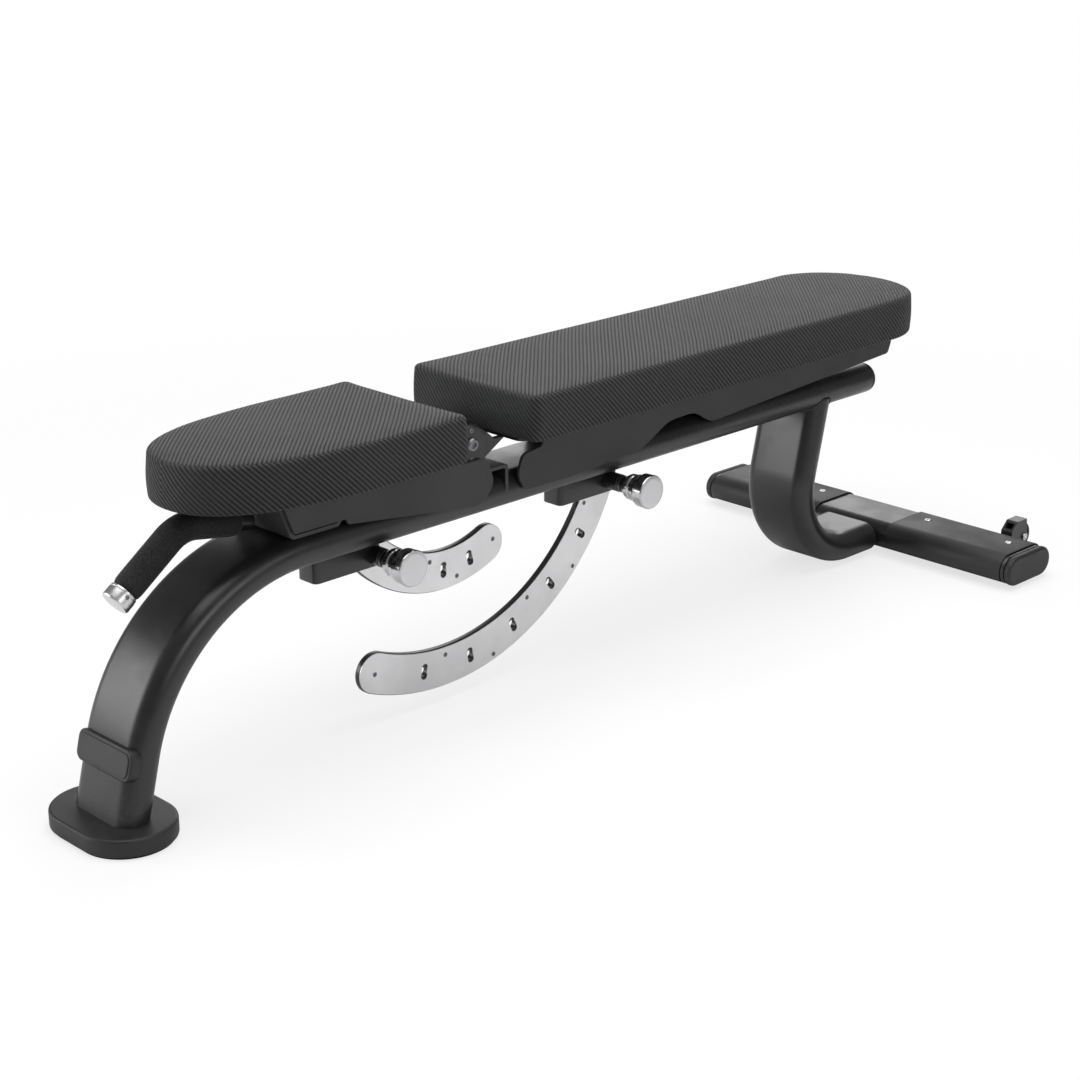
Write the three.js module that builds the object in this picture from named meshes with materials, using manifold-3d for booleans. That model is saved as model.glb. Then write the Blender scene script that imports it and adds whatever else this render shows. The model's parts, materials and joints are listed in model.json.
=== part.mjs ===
// Adjustable weight bench: one bent spine tube with a rear post and crossbar, a seat and a backrest
// that turn on one common axle, and two toothless arc plates that sprung pull pins lock in steps.
// Millimetres. +X runs from the seat end to the head end, +Z is up, Y = 0 is the plane of symmetry.

import * as THREE from 'three';
import { mergeVertices } from 'three/addons/utils/BufferGeometryUtils.js';
import Module from 'manifold-3d';

const wasm = await Module();
wasm.setup();

// ---------------------------------------------------------------------------------------------
// Driving dimensions
// ---------------------------------------------------------------------------------------------
const GAP = 0.3; // clearance between neighbouring pieces
const WALL = 3; // wall of the steel tubes

const PAD = { width: 250, under: 392, thick: 65, round: 12 };
const SEAT = { front: 163, rear: 560, shoulder: 330, nose: 62 };
const BACK = { front: 672, rear: 1591, shoulder: 1470, round: 70 };
const PIVOT = { x: 618, z: 390 };

const OVAL = { width: 120, thick: 48 };
const LEG = { footX: 63.3, footZ: 26, lean: 14.3, bend: 269 };
const BEAM = { z: 307.4, end: 1507 };
const POST = { topX: 1386.4, topZ: 300, lean: 13, bend: 122, runZ: 28 };

const BADGE = { y0: -60, y1: 53, low: 54, high: 95, proud: 5.5, wrap: 10, raised: 1.3, corner: 12 };
const FOOT = { length: 127, width: 182.6, height: 26.5, wall: 3, plate: 6, rubber: 2.4 };
const BAR = { x: 1600, z: 30, half: 306, length: 116, thick: 46 };
const COVER = { inner: 75, outer: 300, thick: 2.3, hem: 14 };
const REAR_FOOT = { front: 1584.5, rear: 1640, inner: 197, outer: 297 };
const WHEEL = { x: 1698, z: 38.5, y: 232.5, radius: 25, width: 13, axle: 4 };

const SEAT_ARC = { hole: 190, width: 58, pin: -46.5, top: -81, tip: 33, holes: 4 };
const BACK_ARC = { hole: 333, width: 59, pin: 67.5, top: 85.5, tip: -28.1, holes: 5 };
const ARC = { steel: 8, face: 1.5, step: 15, bore: 5.6 };
const BLOCK = { width: 38, under: 243, corner: 8, slot: 14 };
const PIN = { radius: 5, bore: 5.5, nose: -7.5, face: -96 };
const HOUSING = { radius: 13, collar: 11, end: -47 };
const BACK_PIN_LONGER = 11;

const PLATE = { inner: 61, thick: 5 };
const DECK = { under: 386.7, thick: 5, half: 92 };
const EAR = { inner: 52, thick: 8, radius: 25 };
const AXLE = { radius: 8, bore: 8.35, bush: 11, bushBore: 11.3 };
const PEDESTAL = { front: 550, rear: 686, top: 350, thick: 6, half: 60 };
const HANDLE = { tube: 12.5, foam: 19, end: [88, 294], bend: 55 };

const deg = THREE.MathUtils.degToRad;

// ---------------------------------------------------------------------------------------------
// Finishes
// ---------------------------------------------------------------------------------------------
const finish = (color, roughness, metalness) =>
  new THREE.MeshStandardMaterial({ color, roughness, metalness });
const powderCoat = () => finish(0x2b2b2c, 0.5, 0.4);
const plateCoat = () => finish(0x3c3c3d, 0.6, 0.3);
const plastic = () => finish(0x232323, 0.45, 0);
const rubber = () => finish(0x161616, 0.9, 0);
const upholstery = () => finish(0x38383a, 0.7, 0);
const foam = () => finish(0x1d1d1d, 0.95, 0);
const stainless = () => finish(0xd4d5d6, 0.3, 1);
const chrome = () => finish(0xe2e3e5, 0.1, 1);
const bronze = () => finish(0xa9824c, 0.4, 0.9);

// ---------------------------------------------------------------------------------------------
// Solids: three.js makes each shape, manifold-3d only joins and cuts
// ---------------------------------------------------------------------------------------------
function toSolid(geometry) {
  const bare = geometry.clone();
  bare.deleteAttribute('normal');
  bare.deleteAttribute('uv');
  const merged = mergeVertices(bare, 1e-4);
  const vertProperties = new Float32Array(merged.attributes.position.array);
  const triVerts = new Uint32Array(merged.index.array);
  return new wasm.Manifold(new wasm.Mesh({ numProp: 3, vertProperties, triVerts }));
}

function toGeometry(solid) {
  const data = solid.getMesh();
  const geometry = new THREE.BufferGeometry();
  geometry.setAttribute('position', new THREE.BufferAttribute(data.vertProperties, 3));
  geometry.setIndex(new THREE.BufferAttribute(data.triVerts, 1));
  return geometry;
}

function cut(base, ...tools) {
  return toGeometry(tools.reduce((solid, tool) => solid.subtract(toSolid(tool)), toSolid(base)));
}

function join(base, ...others) {
  return toGeometry(others.reduce((solid, other) => solid.add(toSolid(other)), toSolid(base)));
}

// Outline in (x, z), carried along Y from y0 to y1.
function acrossY(shape, y0, y1, curveSegments = 12) {
  const options = { depth: y1 - y0, bevelEnabled: false, curveSegments };
  return new THREE.ExtrudeGeometry(shape, options).rotateX(Math.PI / 2).translate(0, y1, 0);
}

// Outline in (x, y), carried up from z0 to z1.
function upZ(shape, z0, z1, curveSegments = 12) {
  const options = { depth: z1 - z0, bevelEnabled: false, curveSegments };
  return new THREE.ExtrudeGeometry(shape, options).translate(0, 0, z0);
}

// Outline in (y, z), carried along X from x0 to x1.
function alongX(shape, x0, x1, curveSegments = 12) {
  const options = { depth: x1 - x0, bevelEnabled: false, curveSegments };
  const turn = new THREE.Matrix4().makeBasis(
    new THREE.Vector3(0, 1, 0),
    new THREE.Vector3(0, 0, 1),
    new THREE.Vector3(1, 0, 0),
  );
  return new THREE.ExtrudeGeometry(shape, options).applyMatrix4(turn).translate(x0, 0, 0);
}

function box(x0, x1, y0, y1, z0, z1) {
  const block = new THREE.BoxGeometry(x1 - x0, y1 - y0, z1 - z0);
  return block.translate((x0 + x1) / 2, (y0 + y1) / 2, (z0 + z1) / 2);
}

// Round bar along Y at (x, z).
function rodY(radius, y0, y1, x, z, sides = 20) {
  const rod = new THREE.CylinderGeometry(radius, radius, y1 - y0, sides);
  return rod.translate(x, (y0 + y1) / 2, z);
}

// Turned part on an axis along -Y: profile points are [radius, distance from Y = 0 towards -Y].
function turnedY(profile, x, z, sides = 32) {
  const points = profile.map(([radius, reach]) => new THREE.Vector2(radius, reach));
  return new THREE.LatheGeometry(points, sides).rotateX(Math.PI).translate(x, 0, z);
}

// Stadium outline: straight sides and half-round ends, its long side along the first axis.
function stadium(length, width, centre = [0, 0]) {
  const r = width / 2;
  const flat = length / 2 - r;
  const [u, v] = centre;
  const shape = new THREE.Shape();
  shape.absarc(u + flat, v, r, -Math.PI / 2, Math.PI / 2, false);
  shape.absarc(u - flat, v, r, Math.PI / 2, (3 * Math.PI) / 2, false);
  shape.closePath();
  return shape;
}

// Rounded rectangle between two corners.
function roundedBox(u0, u1, v0, v1, r) {
  const shape = new THREE.Shape();
  shape.absarc(u1 - r, v0 + r, r, -Math.PI / 2, 0, false);
  shape.absarc(u1 - r, v1 - r, r, 0, Math.PI / 2, false);
  shape.absarc(u0 + r, v1 - r, r, Math.PI / 2, Math.PI, false);
  shape.absarc(u0 + r, v0 + r, r, Math.PI, (3 * Math.PI) / 2, false);
  shape.closePath();
  return shape;
}

// Outline through corner points, each corner rounded by its own radius: [u, v, radius].
function roundedOutline(corners) {
  const shape = new THREE.Shape();
  const count = corners.length;
  const at = (i) => new THREE.Vector2(...corners[(i + count) % count].slice(0, 2));
  corners.forEach(([, , radius = 0], i) => {
    const here = at(i);
    const before = at(i - 1).sub(here);
    const after = at(i + 1).sub(here);
    const half = Math.acos(before.clone().normalize().dot(after.clone().normalize())) / 2;
    const reach = radius / Math.tan(half);
    const start = here.clone().add(before.setLength(reach));
    const end = here.clone().add(after.setLength(reach));
    if (radius === 0) {
      if (i === 0) shape.moveTo(here.x, here.y);
      else shape.lineTo(here.x, here.y);
      return;
    }
    if (i === 0) shape.moveTo(start.x, start.y);
    else shape.lineTo(start.x, start.y);
    const inward = before.clone().normalize().add(after.clone().normalize());
    const centre = here.clone().add(inward.setLength(radius / Math.sin(half)));
    const from = Math.atan2(start.y - centre.y, start.x - centre.x);
    const to = Math.atan2(end.y - centre.y, end.x - centre.x);
    const clockwise = before.x * after.y - before.y * after.x > 0;
    shape.absarc(centre.x, centre.y, radius, from, to, clockwise);
  });
  shape.closePath();
  return shape;
}

// Path in the plane Y = 0 through given stations, each with its own tangent, so that straight
// stretches take one step and bends take many.
class StationPath extends THREE.Curve {
  constructor(stations) {
    super();
    this.stations = stations;
  }

  station(t) {
    return this.stations[Math.round(t * (this.stations.length - 1))];
  }

  getPoint(t, target = new THREE.Vector3()) {
    const { x, z } = this.station(t);
    return target.set(x, 0, z);
  }

  getPointAt(t, target) {
    return this.getPoint(t, target);
  }

  getTangentAt(t, target = new THREE.Vector3()) {
    const { angle } = this.station(t);
    return target.set(Math.cos(angle), 0, Math.sin(angle));
  }

  getSpacedPoints(steps) {
    return Array.from({ length: steps + 1 }, (_, i) => this.getPoint(i / steps));
  }
}

// Stations along a line with one bend: start, corner, end in (x, z), rounded by radius.
// Both ends can run on by `over` so that a bore's tool clears the tube's ends.
function bentRun(start, corner, end, radius, over = 0, stepAngle = deg(7.5)) {
  const a = new THREE.Vector2(...start);
  const b = new THREE.Vector2(...corner);
  const c = new THREE.Vector2(...end);
  const into = b.clone().sub(a).normalize();
  const out = c.clone().sub(b).normalize();
  const angleIn = Math.atan2(into.y, into.x);
  let turn = Math.atan2(out.y, out.x) - angleIn;
  if (turn > Math.PI) turn -= 2 * Math.PI;
  if (turn < -Math.PI) turn += 2 * Math.PI;
  const reach = radius * Math.tan(Math.abs(turn) / 2);
  const side = Math.sign(turn);
  const bendStart = b.clone().addScaledVector(into, -reach);
  const centre = bendStart.clone().add(new THREE.Vector2(-into.y, into.x).multiplyScalar(side * radius));
  const steps = Math.ceil(Math.abs(turn) / stepAngle);
  const stations = [{ x: a.x - into.x * over, z: a.y - into.y * over, angle: angleIn }];
  for (let i = 0; i <= steps; i += 1) {
    const angle = angleIn + (turn * i) / steps;
    stations.push({
      x: centre.x + side * radius * Math.sin(angle),
      z: centre.y - side * radius * Math.cos(angle),
      angle,
    });
  }
  stations.push({ x: c.x + out.x * over, z: c.y + out.y * over, angle: stations.at(-1).angle });
  return new StationPath(stations);
}

// A section carried along a path in the plane Y = 0; the section's first axis is the bench's Y.
function sweep(section, path, curveSegments = 5) {
  const options = { steps: path.stations.length - 1, extrudePath: path, curveSegments };
  return new THREE.ExtrudeGeometry(section, options);
}

function ovalSolid(path, grow = 0) {
  return sweep(stadium(OVAL.width + 2 * grow, OVAL.thick + 2 * grow), path);
}

// ---------------------------------------------------------------------------------------------
// Paths of the main members
// ---------------------------------------------------------------------------------------------
const legSlope = Math.tan(deg(LEG.lean));
const legX = (z) => LEG.footX + (z - LEG.footZ) * legSlope;
const legBottom = FOOT.rubber + GAP + FOOT.plate + GAP;

function spinePath(over = 0) {
  const start = [legX(legBottom - 10), legBottom - 10];
  return bentRun(start, [legX(BEAM.z), BEAM.z], [BEAM.end, BEAM.z], LEG.bend, over);
}

const postSlope = Math.tan(deg(POST.lean));
const postCorner = [POST.topX - (POST.topZ - POST.runZ) * postSlope, POST.runZ];

function postPath(over = 0) {
  return bentRun([POST.topX, POST.topZ], postCorner, [BAR.x - 15, POST.runZ], POST.bend, over);
}

const beamTop = BEAM.z + OVAL.thick / 2;
const beamUnder = BEAM.z - OVAL.thick / 2;
const beamEnvelope = ovalSolid(spinePath(), GAP);

// Point on a circle about the common axle; 0 degrees hangs straight down, positive towards the head.
function onArc(radius, angle) {
  return [PIVOT.x + radius * Math.sin(deg(angle)), PIVOT.z - radius * Math.cos(deg(angle))];
}

const seatPin = onArc(SEAT_ARC.hole, SEAT_ARC.pin);
const backPin = onArc(BACK_ARC.hole, BACK_ARC.pin);

// ---------------------------------------------------------------------------------------------
// Assembly
// ---------------------------------------------------------------------------------------------
const bench = new THREE.Group();

function add(name, geometry, material) {
  const mesh = new THREE.Mesh(geometry, material);
  mesh.name = name;
  bench.add(mesh);
  return mesh;
}

// The near side (-Y) is the right-hand side of someone lying on the bench with the head at +X.
function bothSides(name, build, material) {
  add(`${name}_right`, build(-1), material());
  add(`${name}_left`, build(1), material());
}

function spanY(side, inner, outer) {
  return side < 0 ? [-outer, -inner] : [inner, outer];
}

// Slots that let the arc plates pass through the beam.
const arcPassage = [
  box(seatPin[0] - 82, seatPin[0] + 38, -BLOCK.slot / 2, BLOCK.slot / 2, beamUnder - 2, beamTop + 2),
  box(backPin[0] - 72, backPin[0] + 72, -BLOCK.slot / 2, BLOCK.slot / 2, beamUnder - 2, beamTop + 2),
];

function buildSpine() {
  const bore = sweep(stadium(OVAL.width - 2 * WALL, OVAL.thick - 2 * WALL), spinePath(1));
  const belowLeg = box(-50, 200, -OVAL.width, OVAL.width, -50, legBottom);
  add('main_tube', cut(ovalSolid(spinePath()), bore, belowLeg, ...arcPassage), powderCoat());

  const flange = alongX(stadium(OVAL.width - 2, OVAL.thick - 2, [0, BEAM.z]), BEAM.end + GAP, BEAM.end + 8);
  const plugSize = [OVAL.width - 2 * WALL - 1, OVAL.thick - 2 * WALL - 1];
  const plug = alongX(stadium(...plugSize, [0, BEAM.z]), BEAM.end - 20, BEAM.end + 2);
  add('beam_end_cap', join(flange, plug), plastic());
}

function buildFrontFoot() {
  const middle = FOOT.length / 2;
  const outline = (inset) => {
    const shape = stadium(FOOT.width - 2 * inset, FOOT.length - 2 * inset);
    return new THREE.Shape(shape.getPoints(14).map((p) => new THREE.Vector2(p.y + middle, p.x)));
  };
  add('front_foot_pad', upZ(outline(4), 0, FOOT.rubber), rubber());
  const plateZ = FOOT.rubber + GAP;
  add('front_foot_plate', upZ(outline(6), plateZ, plateZ + FOOT.plate), powderCoat());

  const shell = upZ(outline(0), plateZ, FOOT.height);
  const hollow = upZ(outline(FOOT.wall), plateZ - 1, FOOT.height - FOOT.wall);
  const legHole = ovalSolid(spinePath(1), GAP);
  add('front_foot_cover', cut(shell, hollow, legHole), plastic());
}

// Blank two-step name plate across the leg's front, with its ends wrapped back over the roundings.
function buildBadge() {
  const { y0, y1, low, high, proud, wrap, raised, corner } = BADGE;
  const slab = (inset, depth0, depth1) => {
    const outline = roundedBox(low + inset, high - inset, y0 + inset, y1 - inset, corner - inset / 2);
    const flat = upZ(outline, depth0, depth1, 5);
    const onto = new THREE.Matrix4().makeBasis(
      new THREE.Vector3(0, 0, 1),
      new THREE.Vector3(0, 1, 0),
      new THREE.Vector3(-1, 0, 0),
    );
    return flat.applyMatrix4(onto).rotateY(deg(LEG.lean)).translate(LEG.footX, 0, LEG.footZ);
  };
  const face = OVAL.thick / 2;
  const body = slab(0, face - wrap, face + proud);
  const front = slab(5, face, face + proud + raised);
  add('badge_plate', cut(join(body, front), ovalSolid(spinePath(), GAP)), plastic());
}

function buildRear() {
  const barSection = stadium(BAR.length, BAR.thick, [BAR.x, BAR.z]);
  const barSolid = acrossY(barSection, -BAR.half, BAR.half, 8);
  const barBore = stadium(BAR.length - 2 * WALL, BAR.thick - 2 * WALL, [BAR.x, BAR.z]);
  add('rear_crossbar', cut(barSolid, acrossY(barBore, -BAR.half - 1, BAR.half + 1, 8)), powderCoat());

  const barClear = stadium(BAR.length + 2 * GAP, BAR.thick + 2 * GAP, [BAR.x, BAR.z]);
  const postBore = sweep(stadium(OVAL.width - 2 * WALL, OVAL.thick - 2 * WALL), postPath(1));
  const clearOfBar = acrossY(barClear, -OVAL.width, OVAL.width, 8);
  add('rear_post', cut(ovalSolid(postPath()), postBore, beamEnvelope, clearOfBar), powderCoat());

  const outerSize = [BAR.length + 2 * (COVER.thick + GAP), BAR.thick + 2 * (COVER.thick + GAP)];
  const coverOuter = stadium(...outerSize, [BAR.x, BAR.z]);
  bothSides('crossbar_cover', (side) => {
    const [y0, y1] = spanY(side, COVER.inner, COVER.outer);
    const shell = acrossY(coverOuter, y0, y1, 8);
    const hollow = acrossY(barClear, y0 - 1, y1 + 1, 8);
    const openSide = box(BAR.x - 80, BAR.x + 80, y0 - 1, y1 + 1, -10, COVER.hem);
    return cut(shell, hollow, openSide);
  }, plastic);

  bothSides('crossbar_cap', (side) => {
    const capSection = stadium(BAR.length + 2, BAR.thick + 2, [BAR.x, BAR.z]);
    const plugSection = stadium(BAR.length - 2 * WALL - 1, BAR.thick - 2 * WALL - 1, [BAR.x, BAR.z]);
    const [y0, y1] = spanY(side, BAR.half + GAP, BAR.half + 13);
    const [p0, p1] = spanY(side, BAR.half - 25, BAR.half + 4);
    return join(acrossY(capSection, y0, y1, 8), acrossY(plugSection, p0, p1, 8));
  }, plastic);

  const barUnder = BAR.z - BAR.thick / 2;
  bothSides('rear_foot', (side) => {
    const [y0, y1] = spanY(side, REAR_FOOT.inner, REAR_FOOT.outer);
    return upZ(roundedBox(REAR_FOOT.front, REAR_FOOT.rear, y0, y1, 8), 0, barUnder - GAP, 4);
  }, rubber);
}

function buildWheels() {
  const half = 10.5;
  const sheet = 3.5;
  const webX = BAR.x + BAR.length / 2 + COVER.thick + 2 * GAP;
  const cheek = roundedOutline([
    [webX, 14, 0],
    [WHEEL.x, 26, 12],
    [WHEEL.x + 10, 34, 8],
    [WHEEL.x + 5, 68.5, 0],
    [WHEEL.x - 22, 68.5, 5],
    [webX, 54, 0],
  ]);
  bothSides('wheel_bracket', (side) => {
    const y = side * WHEEL.y;
    const cheeks = acrossY(cheek, y - half, y + half, 5);
    const room = box(webX + sheet, WHEEL.x + 40, y - half + sheet, y + half - sheet, 0, 65);
    const bore = rodY(WHEEL.axle + GAP, y - half - 1, y + half + 1, WHEEL.x, WHEEL.z, 20);
    return cut(cheeks, room, bore);
  }, powderCoat);
  bothSides('transport_wheel', (side) => {
    const y = side * WHEEL.y;
    const h = WHEEL.width / 2;
    const r = WHEEL.radius;
    const bore = WHEEL.axle + 2 * GAP;
    const profile = [[bore, -h], [r - 3, -h], [r, -h + 2], [r, h - 2], [r - 3, h], [bore, h], [bore, -h]];
    return turnedY(profile, WHEEL.x, WHEEL.z, 24).translate(0, y, 0);
  }, rubber);
  bothSides('wheel_axle', (side) => {
    const y = side * WHEEL.y;
    const shank = rodY(WHEEL.axle, y - half - 1, y + half + 1, WHEEL.x, WHEEL.z, 20);
    const headNear = rodY(WHEEL.axle + 2.5, y - half - 3.3, y - half - GAP, WHEEL.x, WHEEL.z, 20);
    const headFar = rodY(WHEEL.axle + 2.5, y + half + GAP, y + half + 3.3, WHEEL.x, WHEEL.z, 20);
    return join(shank, headNear, headFar);
  }, chrome);
}

// Guide block under the beam: the arc runs through its slot and the pull pin enters from -Y.
function buildPinStation(name, pin, x0, x1, longer) {
  const half = BLOCK.width / 2;
  const body = upZ(roundedBox(x0, x1, -half, half, BLOCK.corner), BLOCK.under, beamUnder + 6, 4);
  const slot = box(x0 + 6, x1 + 5, -BLOCK.slot / 2, BLOCK.slot / 2, BLOCK.under - 1, beamUnder + 10);
  const bore = rodY(PIN.bore, -half - 1, 0, pin[0], pin[1], 20);
  add(`pin_block_${name}`, cut(body, slot, bore, beamEnvelope), powderCoat());

  const face = half + GAP;
  const { radius, collar, end } = HOUSING;
  const sleeve = [
    [PIN.bore, face], [radius, face], [radius, 36 + longer], [collar, 38 + longer],
    [collar, longer - end], [8.5, longer - end], [8.5, face + 6], [PIN.bore, face + 6],
    [PIN.bore, face],
  ];
  add(`pin_housing_${name}`, turnedY(sleeve, ...pin, 20), powderCoat());

  const spring = springCoil(6.9, 0.75, 29, 40, 5);
  add(`pin_spring_${name}`, spring.translate(pin[0], 0, pin[1]), stainless());

  const neck = longer - end + 0.8;
  const f = longer - PIN.face;
  const knob = [
    [0, -PIN.nose], [PIN.radius - 1, -PIN.nose], [PIN.radius, -PIN.nose + 1], [PIN.radius, neck],
    [11, neck], [16.5, neck + 3], [19, neck + 9], [19, neck + 14], [17, neck + 16], [17, neck + 18],
    [21, neck + 21], [21, neck + 27], [25, neck + 32], [25, f - 1.5], [23.5, f], [0, f],
  ];
  add(`pull_pin_${name}`, turnedY(knob, ...pin, 22), chrome());
}

// Compression spring about the Y axis, from reach y0 to y1 on the -Y side.
function springCoil(radius, wire, y0, y1, turns) {
  const coil = new (class extends THREE.Curve {
    getPoint(t, target = new THREE.Vector3()) {
      const a = 2 * Math.PI * turns * t;
      return target.set(radius * Math.cos(a), -(y0 + (y1 - y0) * t), radius * Math.sin(a));
    }
  })();
  const section = new THREE.Shape();
  section.absarc(0, 0, wire, 0, Math.PI, false);
  section.absarc(0, 0, wire, Math.PI, 2 * Math.PI, false);
  section.closePath();
  const options = { steps: turns * 8, extrudePath: coil, curveSegments: 2 };
  return new THREE.ExtrudeGeometry(section, options);
}

function buildPedestal() {
  const { front, rear, top, thick, half } = PEDESTAL;
  const channel = roundedOutline([
    [front, BEAM.z], [front, top, 8], [rear, top, 8], [rear, BEAM.z],
    [rear - thick, BEAM.z], [rear - thick, top - thick, 2], [front + thick, top - thick, 2],
    [front + thick, BEAM.z],
  ].reverse());
  add('pivot_pedestal', cut(acrossY(channel, -half, half, 4), beamEnvelope), powderCoat());

  const ear = new THREE.Shape();
  ear.moveTo(PIVOT.x - EAR.radius, top + GAP);
  ear.lineTo(PIVOT.x + EAR.radius, top + GAP);
  ear.absarc(PIVOT.x, PIVOT.z, EAR.radius, 0, Math.PI, false);
  ear.closePath();
  bothSides('pivot_ear', (side) => {
    const [y0, y1] = spanY(side, EAR.inner, EAR.inner + EAR.thick);
    return cut(acrossY(ear, y0, y1), rodY(AXLE.bore, y0 - 1, y1 + 1, PIVOT.x, PIVOT.z));
  }, powderCoat);

  const reach = EAR.inner + EAR.thick;
  add('pivot_axle', rodY(AXLE.radius, -reach, reach, PIVOT.x, PIVOT.z), stainless());
  bothSides('axle_screw', (side) => {
    const profile = [
      [0, reach + GAP], [9.5, reach + GAP], [9.5, reach + 2.5], [7.5, reach + 5], [4, reach + 5],
      [4, reach + 3], [0, reach + 3],
    ];
    const head = turnedY(profile, PIVOT.x, PIVOT.z, 18);
    return side < 0 ? head : head.rotateX(Math.PI).translate(0, 0, 2 * PIVOT.z);
  }, stainless);
}

// Arc plate with its row of pin holes; `sign` is the way the holes run from the pin to the tip.
function arcPlate({ hole, width, pin, top, tip, holes }, y0, y1, trim) {
  const sign = Math.sign(tip - top);
  const inner = hole - width / 2 + trim;
  const outer = hole + width / 2 - trim;
  const polar = (angle) => deg(angle) - Math.PI / 2;
  const tipRound = (outer - inner) / 2;
  const tipAngle = tip - (sign * tipRound * 180) / (Math.PI * hole);
  const tipCentre = onArc(hole, tipAngle);
  const facing = polar(tipAngle);
  const shape = new THREE.Shape();
  const forward = sign > 0;
  shape.absarc(PIVOT.x, PIVOT.z, outer, polar(top), polar(tipAngle), !forward);
  shape.absarc(...tipCentre, tipRound, facing, facing + sign * Math.PI, !forward);
  shape.absarc(PIVOT.x, PIVOT.z, inner, polar(tipAngle), polar(top), forward);
  shape.closePath();
  const bores = Array.from({ length: holes + 1 }, (_, i) => {
    const [x, z] = onArc(hole, pin + sign * ARC.step * i);
    return rodY(ARC.bore, y0 - 1, y1 + 1, x, z, 10);
  });
  return cut(acrossY(shape, y0, y1, 12), ...bores);
}

function buildArc(name, arc, faceTop) {
  const half = ARC.steel / 2;
  add(`${name}_arc`, arcPlate(arc, -half, half, 0), powderCoat());
  const face = { ...arc, top: faceTop };
  const faceY = -half - GAP;
  add(`${name}_arc_face`, arcPlate(face, faceY - ARC.face, faceY, 1.2), stainless());
}

// Crossbeam between the side plates that holds the top of an arc plate.
function arcBracket(x, z0, arcName) {
  const reach = PLATE.inner - GAP;
  const top = DECK.under - GAP;
  const web = box(x - 22, x + 22, -reach, reach, z0, top);
  const slot = box(x - 60, x + 60, -BLOCK.slot / 2 + 1, BLOCK.slot / 2 - 1, z0 - 5, top - 5);
  return cut(web, slot);
}

function hingeLug(side, inner, outline) {
  const [y0, y1] = spanY(side, inner, inner + 8);
  return cut(acrossY(outline, y0, y1), rodY(AXLE.bushBore, y0 - 1, y1 + 1, PIVOT.x, PIVOT.z));
}

function hingeBush(side, inner) {
  const [y0, y1] = spanY(side, inner, inner + 8);
  const bush = rodY(AXLE.bush, y0, y1, PIVOT.x, PIVOT.z);
  return cut(bush, rodY(AXLE.bore, y0 - 1, y1 + 1, PIVOT.x, PIVOT.z));
}

// Seat outline from above: parallel at the rear, narrowing in a long curve to a round nose.
function seatOutline(inset) {
  const half = PAD.width / 2 - inset;
  const rear = SEAT.rear - inset;
  const front = SEAT.front + inset;
  const { shoulder, nose } = SEAT;
  const shape = new THREE.Shape();
  const corner = Math.max(14 - inset, 6);
  shape.moveTo(rear - corner, half);
  shape.lineTo(shoulder + 90, half);
  shape.bezierCurveTo(shoulder - 20, half - 4, front, nose + 42 - inset, front, 0);
  shape.bezierCurveTo(front, -nose - 42 + inset, shoulder - 20, -half + 4, shoulder + 90, -half);
  shape.lineTo(rear - corner, -half);
  shape.absarc(rear - corner, -half + corner, corner, -Math.PI / 2, 0, false);
  shape.absarc(rear - corner, half - corner, corner, 0, Math.PI / 2, false);
  shape.closePath();
  return shape;
}

// Backrest outline from above: square at the hip end, a long bow at the head end.
function backOutline(inset) {
  const half = PAD.width / 2 - inset;
  const r = Math.max(14 - inset, 6);
  const { shoulder, round } = BACK;
  const front = BACK.front + inset;
  const rear = BACK.rear - inset;
  const shape = new THREE.Shape();
  shape.moveTo(front + r, -half);
  shape.lineTo(shoulder, -half);
  shape.bezierCurveTo(shoulder + round, -half, rear, -round, rear, 0);
  shape.bezierCurveTo(rear, round, shoulder + round, half, shoulder, half);
  shape.lineTo(front + r, half);
  shape.absarc(front + r, half - r, r, Math.PI / 2, Math.PI, false);
  shape.absarc(front + r, -half + r, r, Math.PI, 1.5 * Math.PI, false);
  shape.closePath();
  return shape;
}

// Padded block with its top and bottom edges eased.
function padBlock(outline, cornerSegments) {
  const ease = PAD.round / 2;
  const options = {
    depth: PAD.thick - 2 * ease,
    bevelEnabled: true,
    bevelThickness: ease,
    bevelSize: ease,
    bevelOffset: 0,
    bevelSegments: 2,
    curveSegments: cornerSegments,
  };
  return new THREE.ExtrudeGeometry(outline(ease), options).translate(0, 0, PAD.under + ease);
}

const plateTop = DECK.under - GAP;

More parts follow.
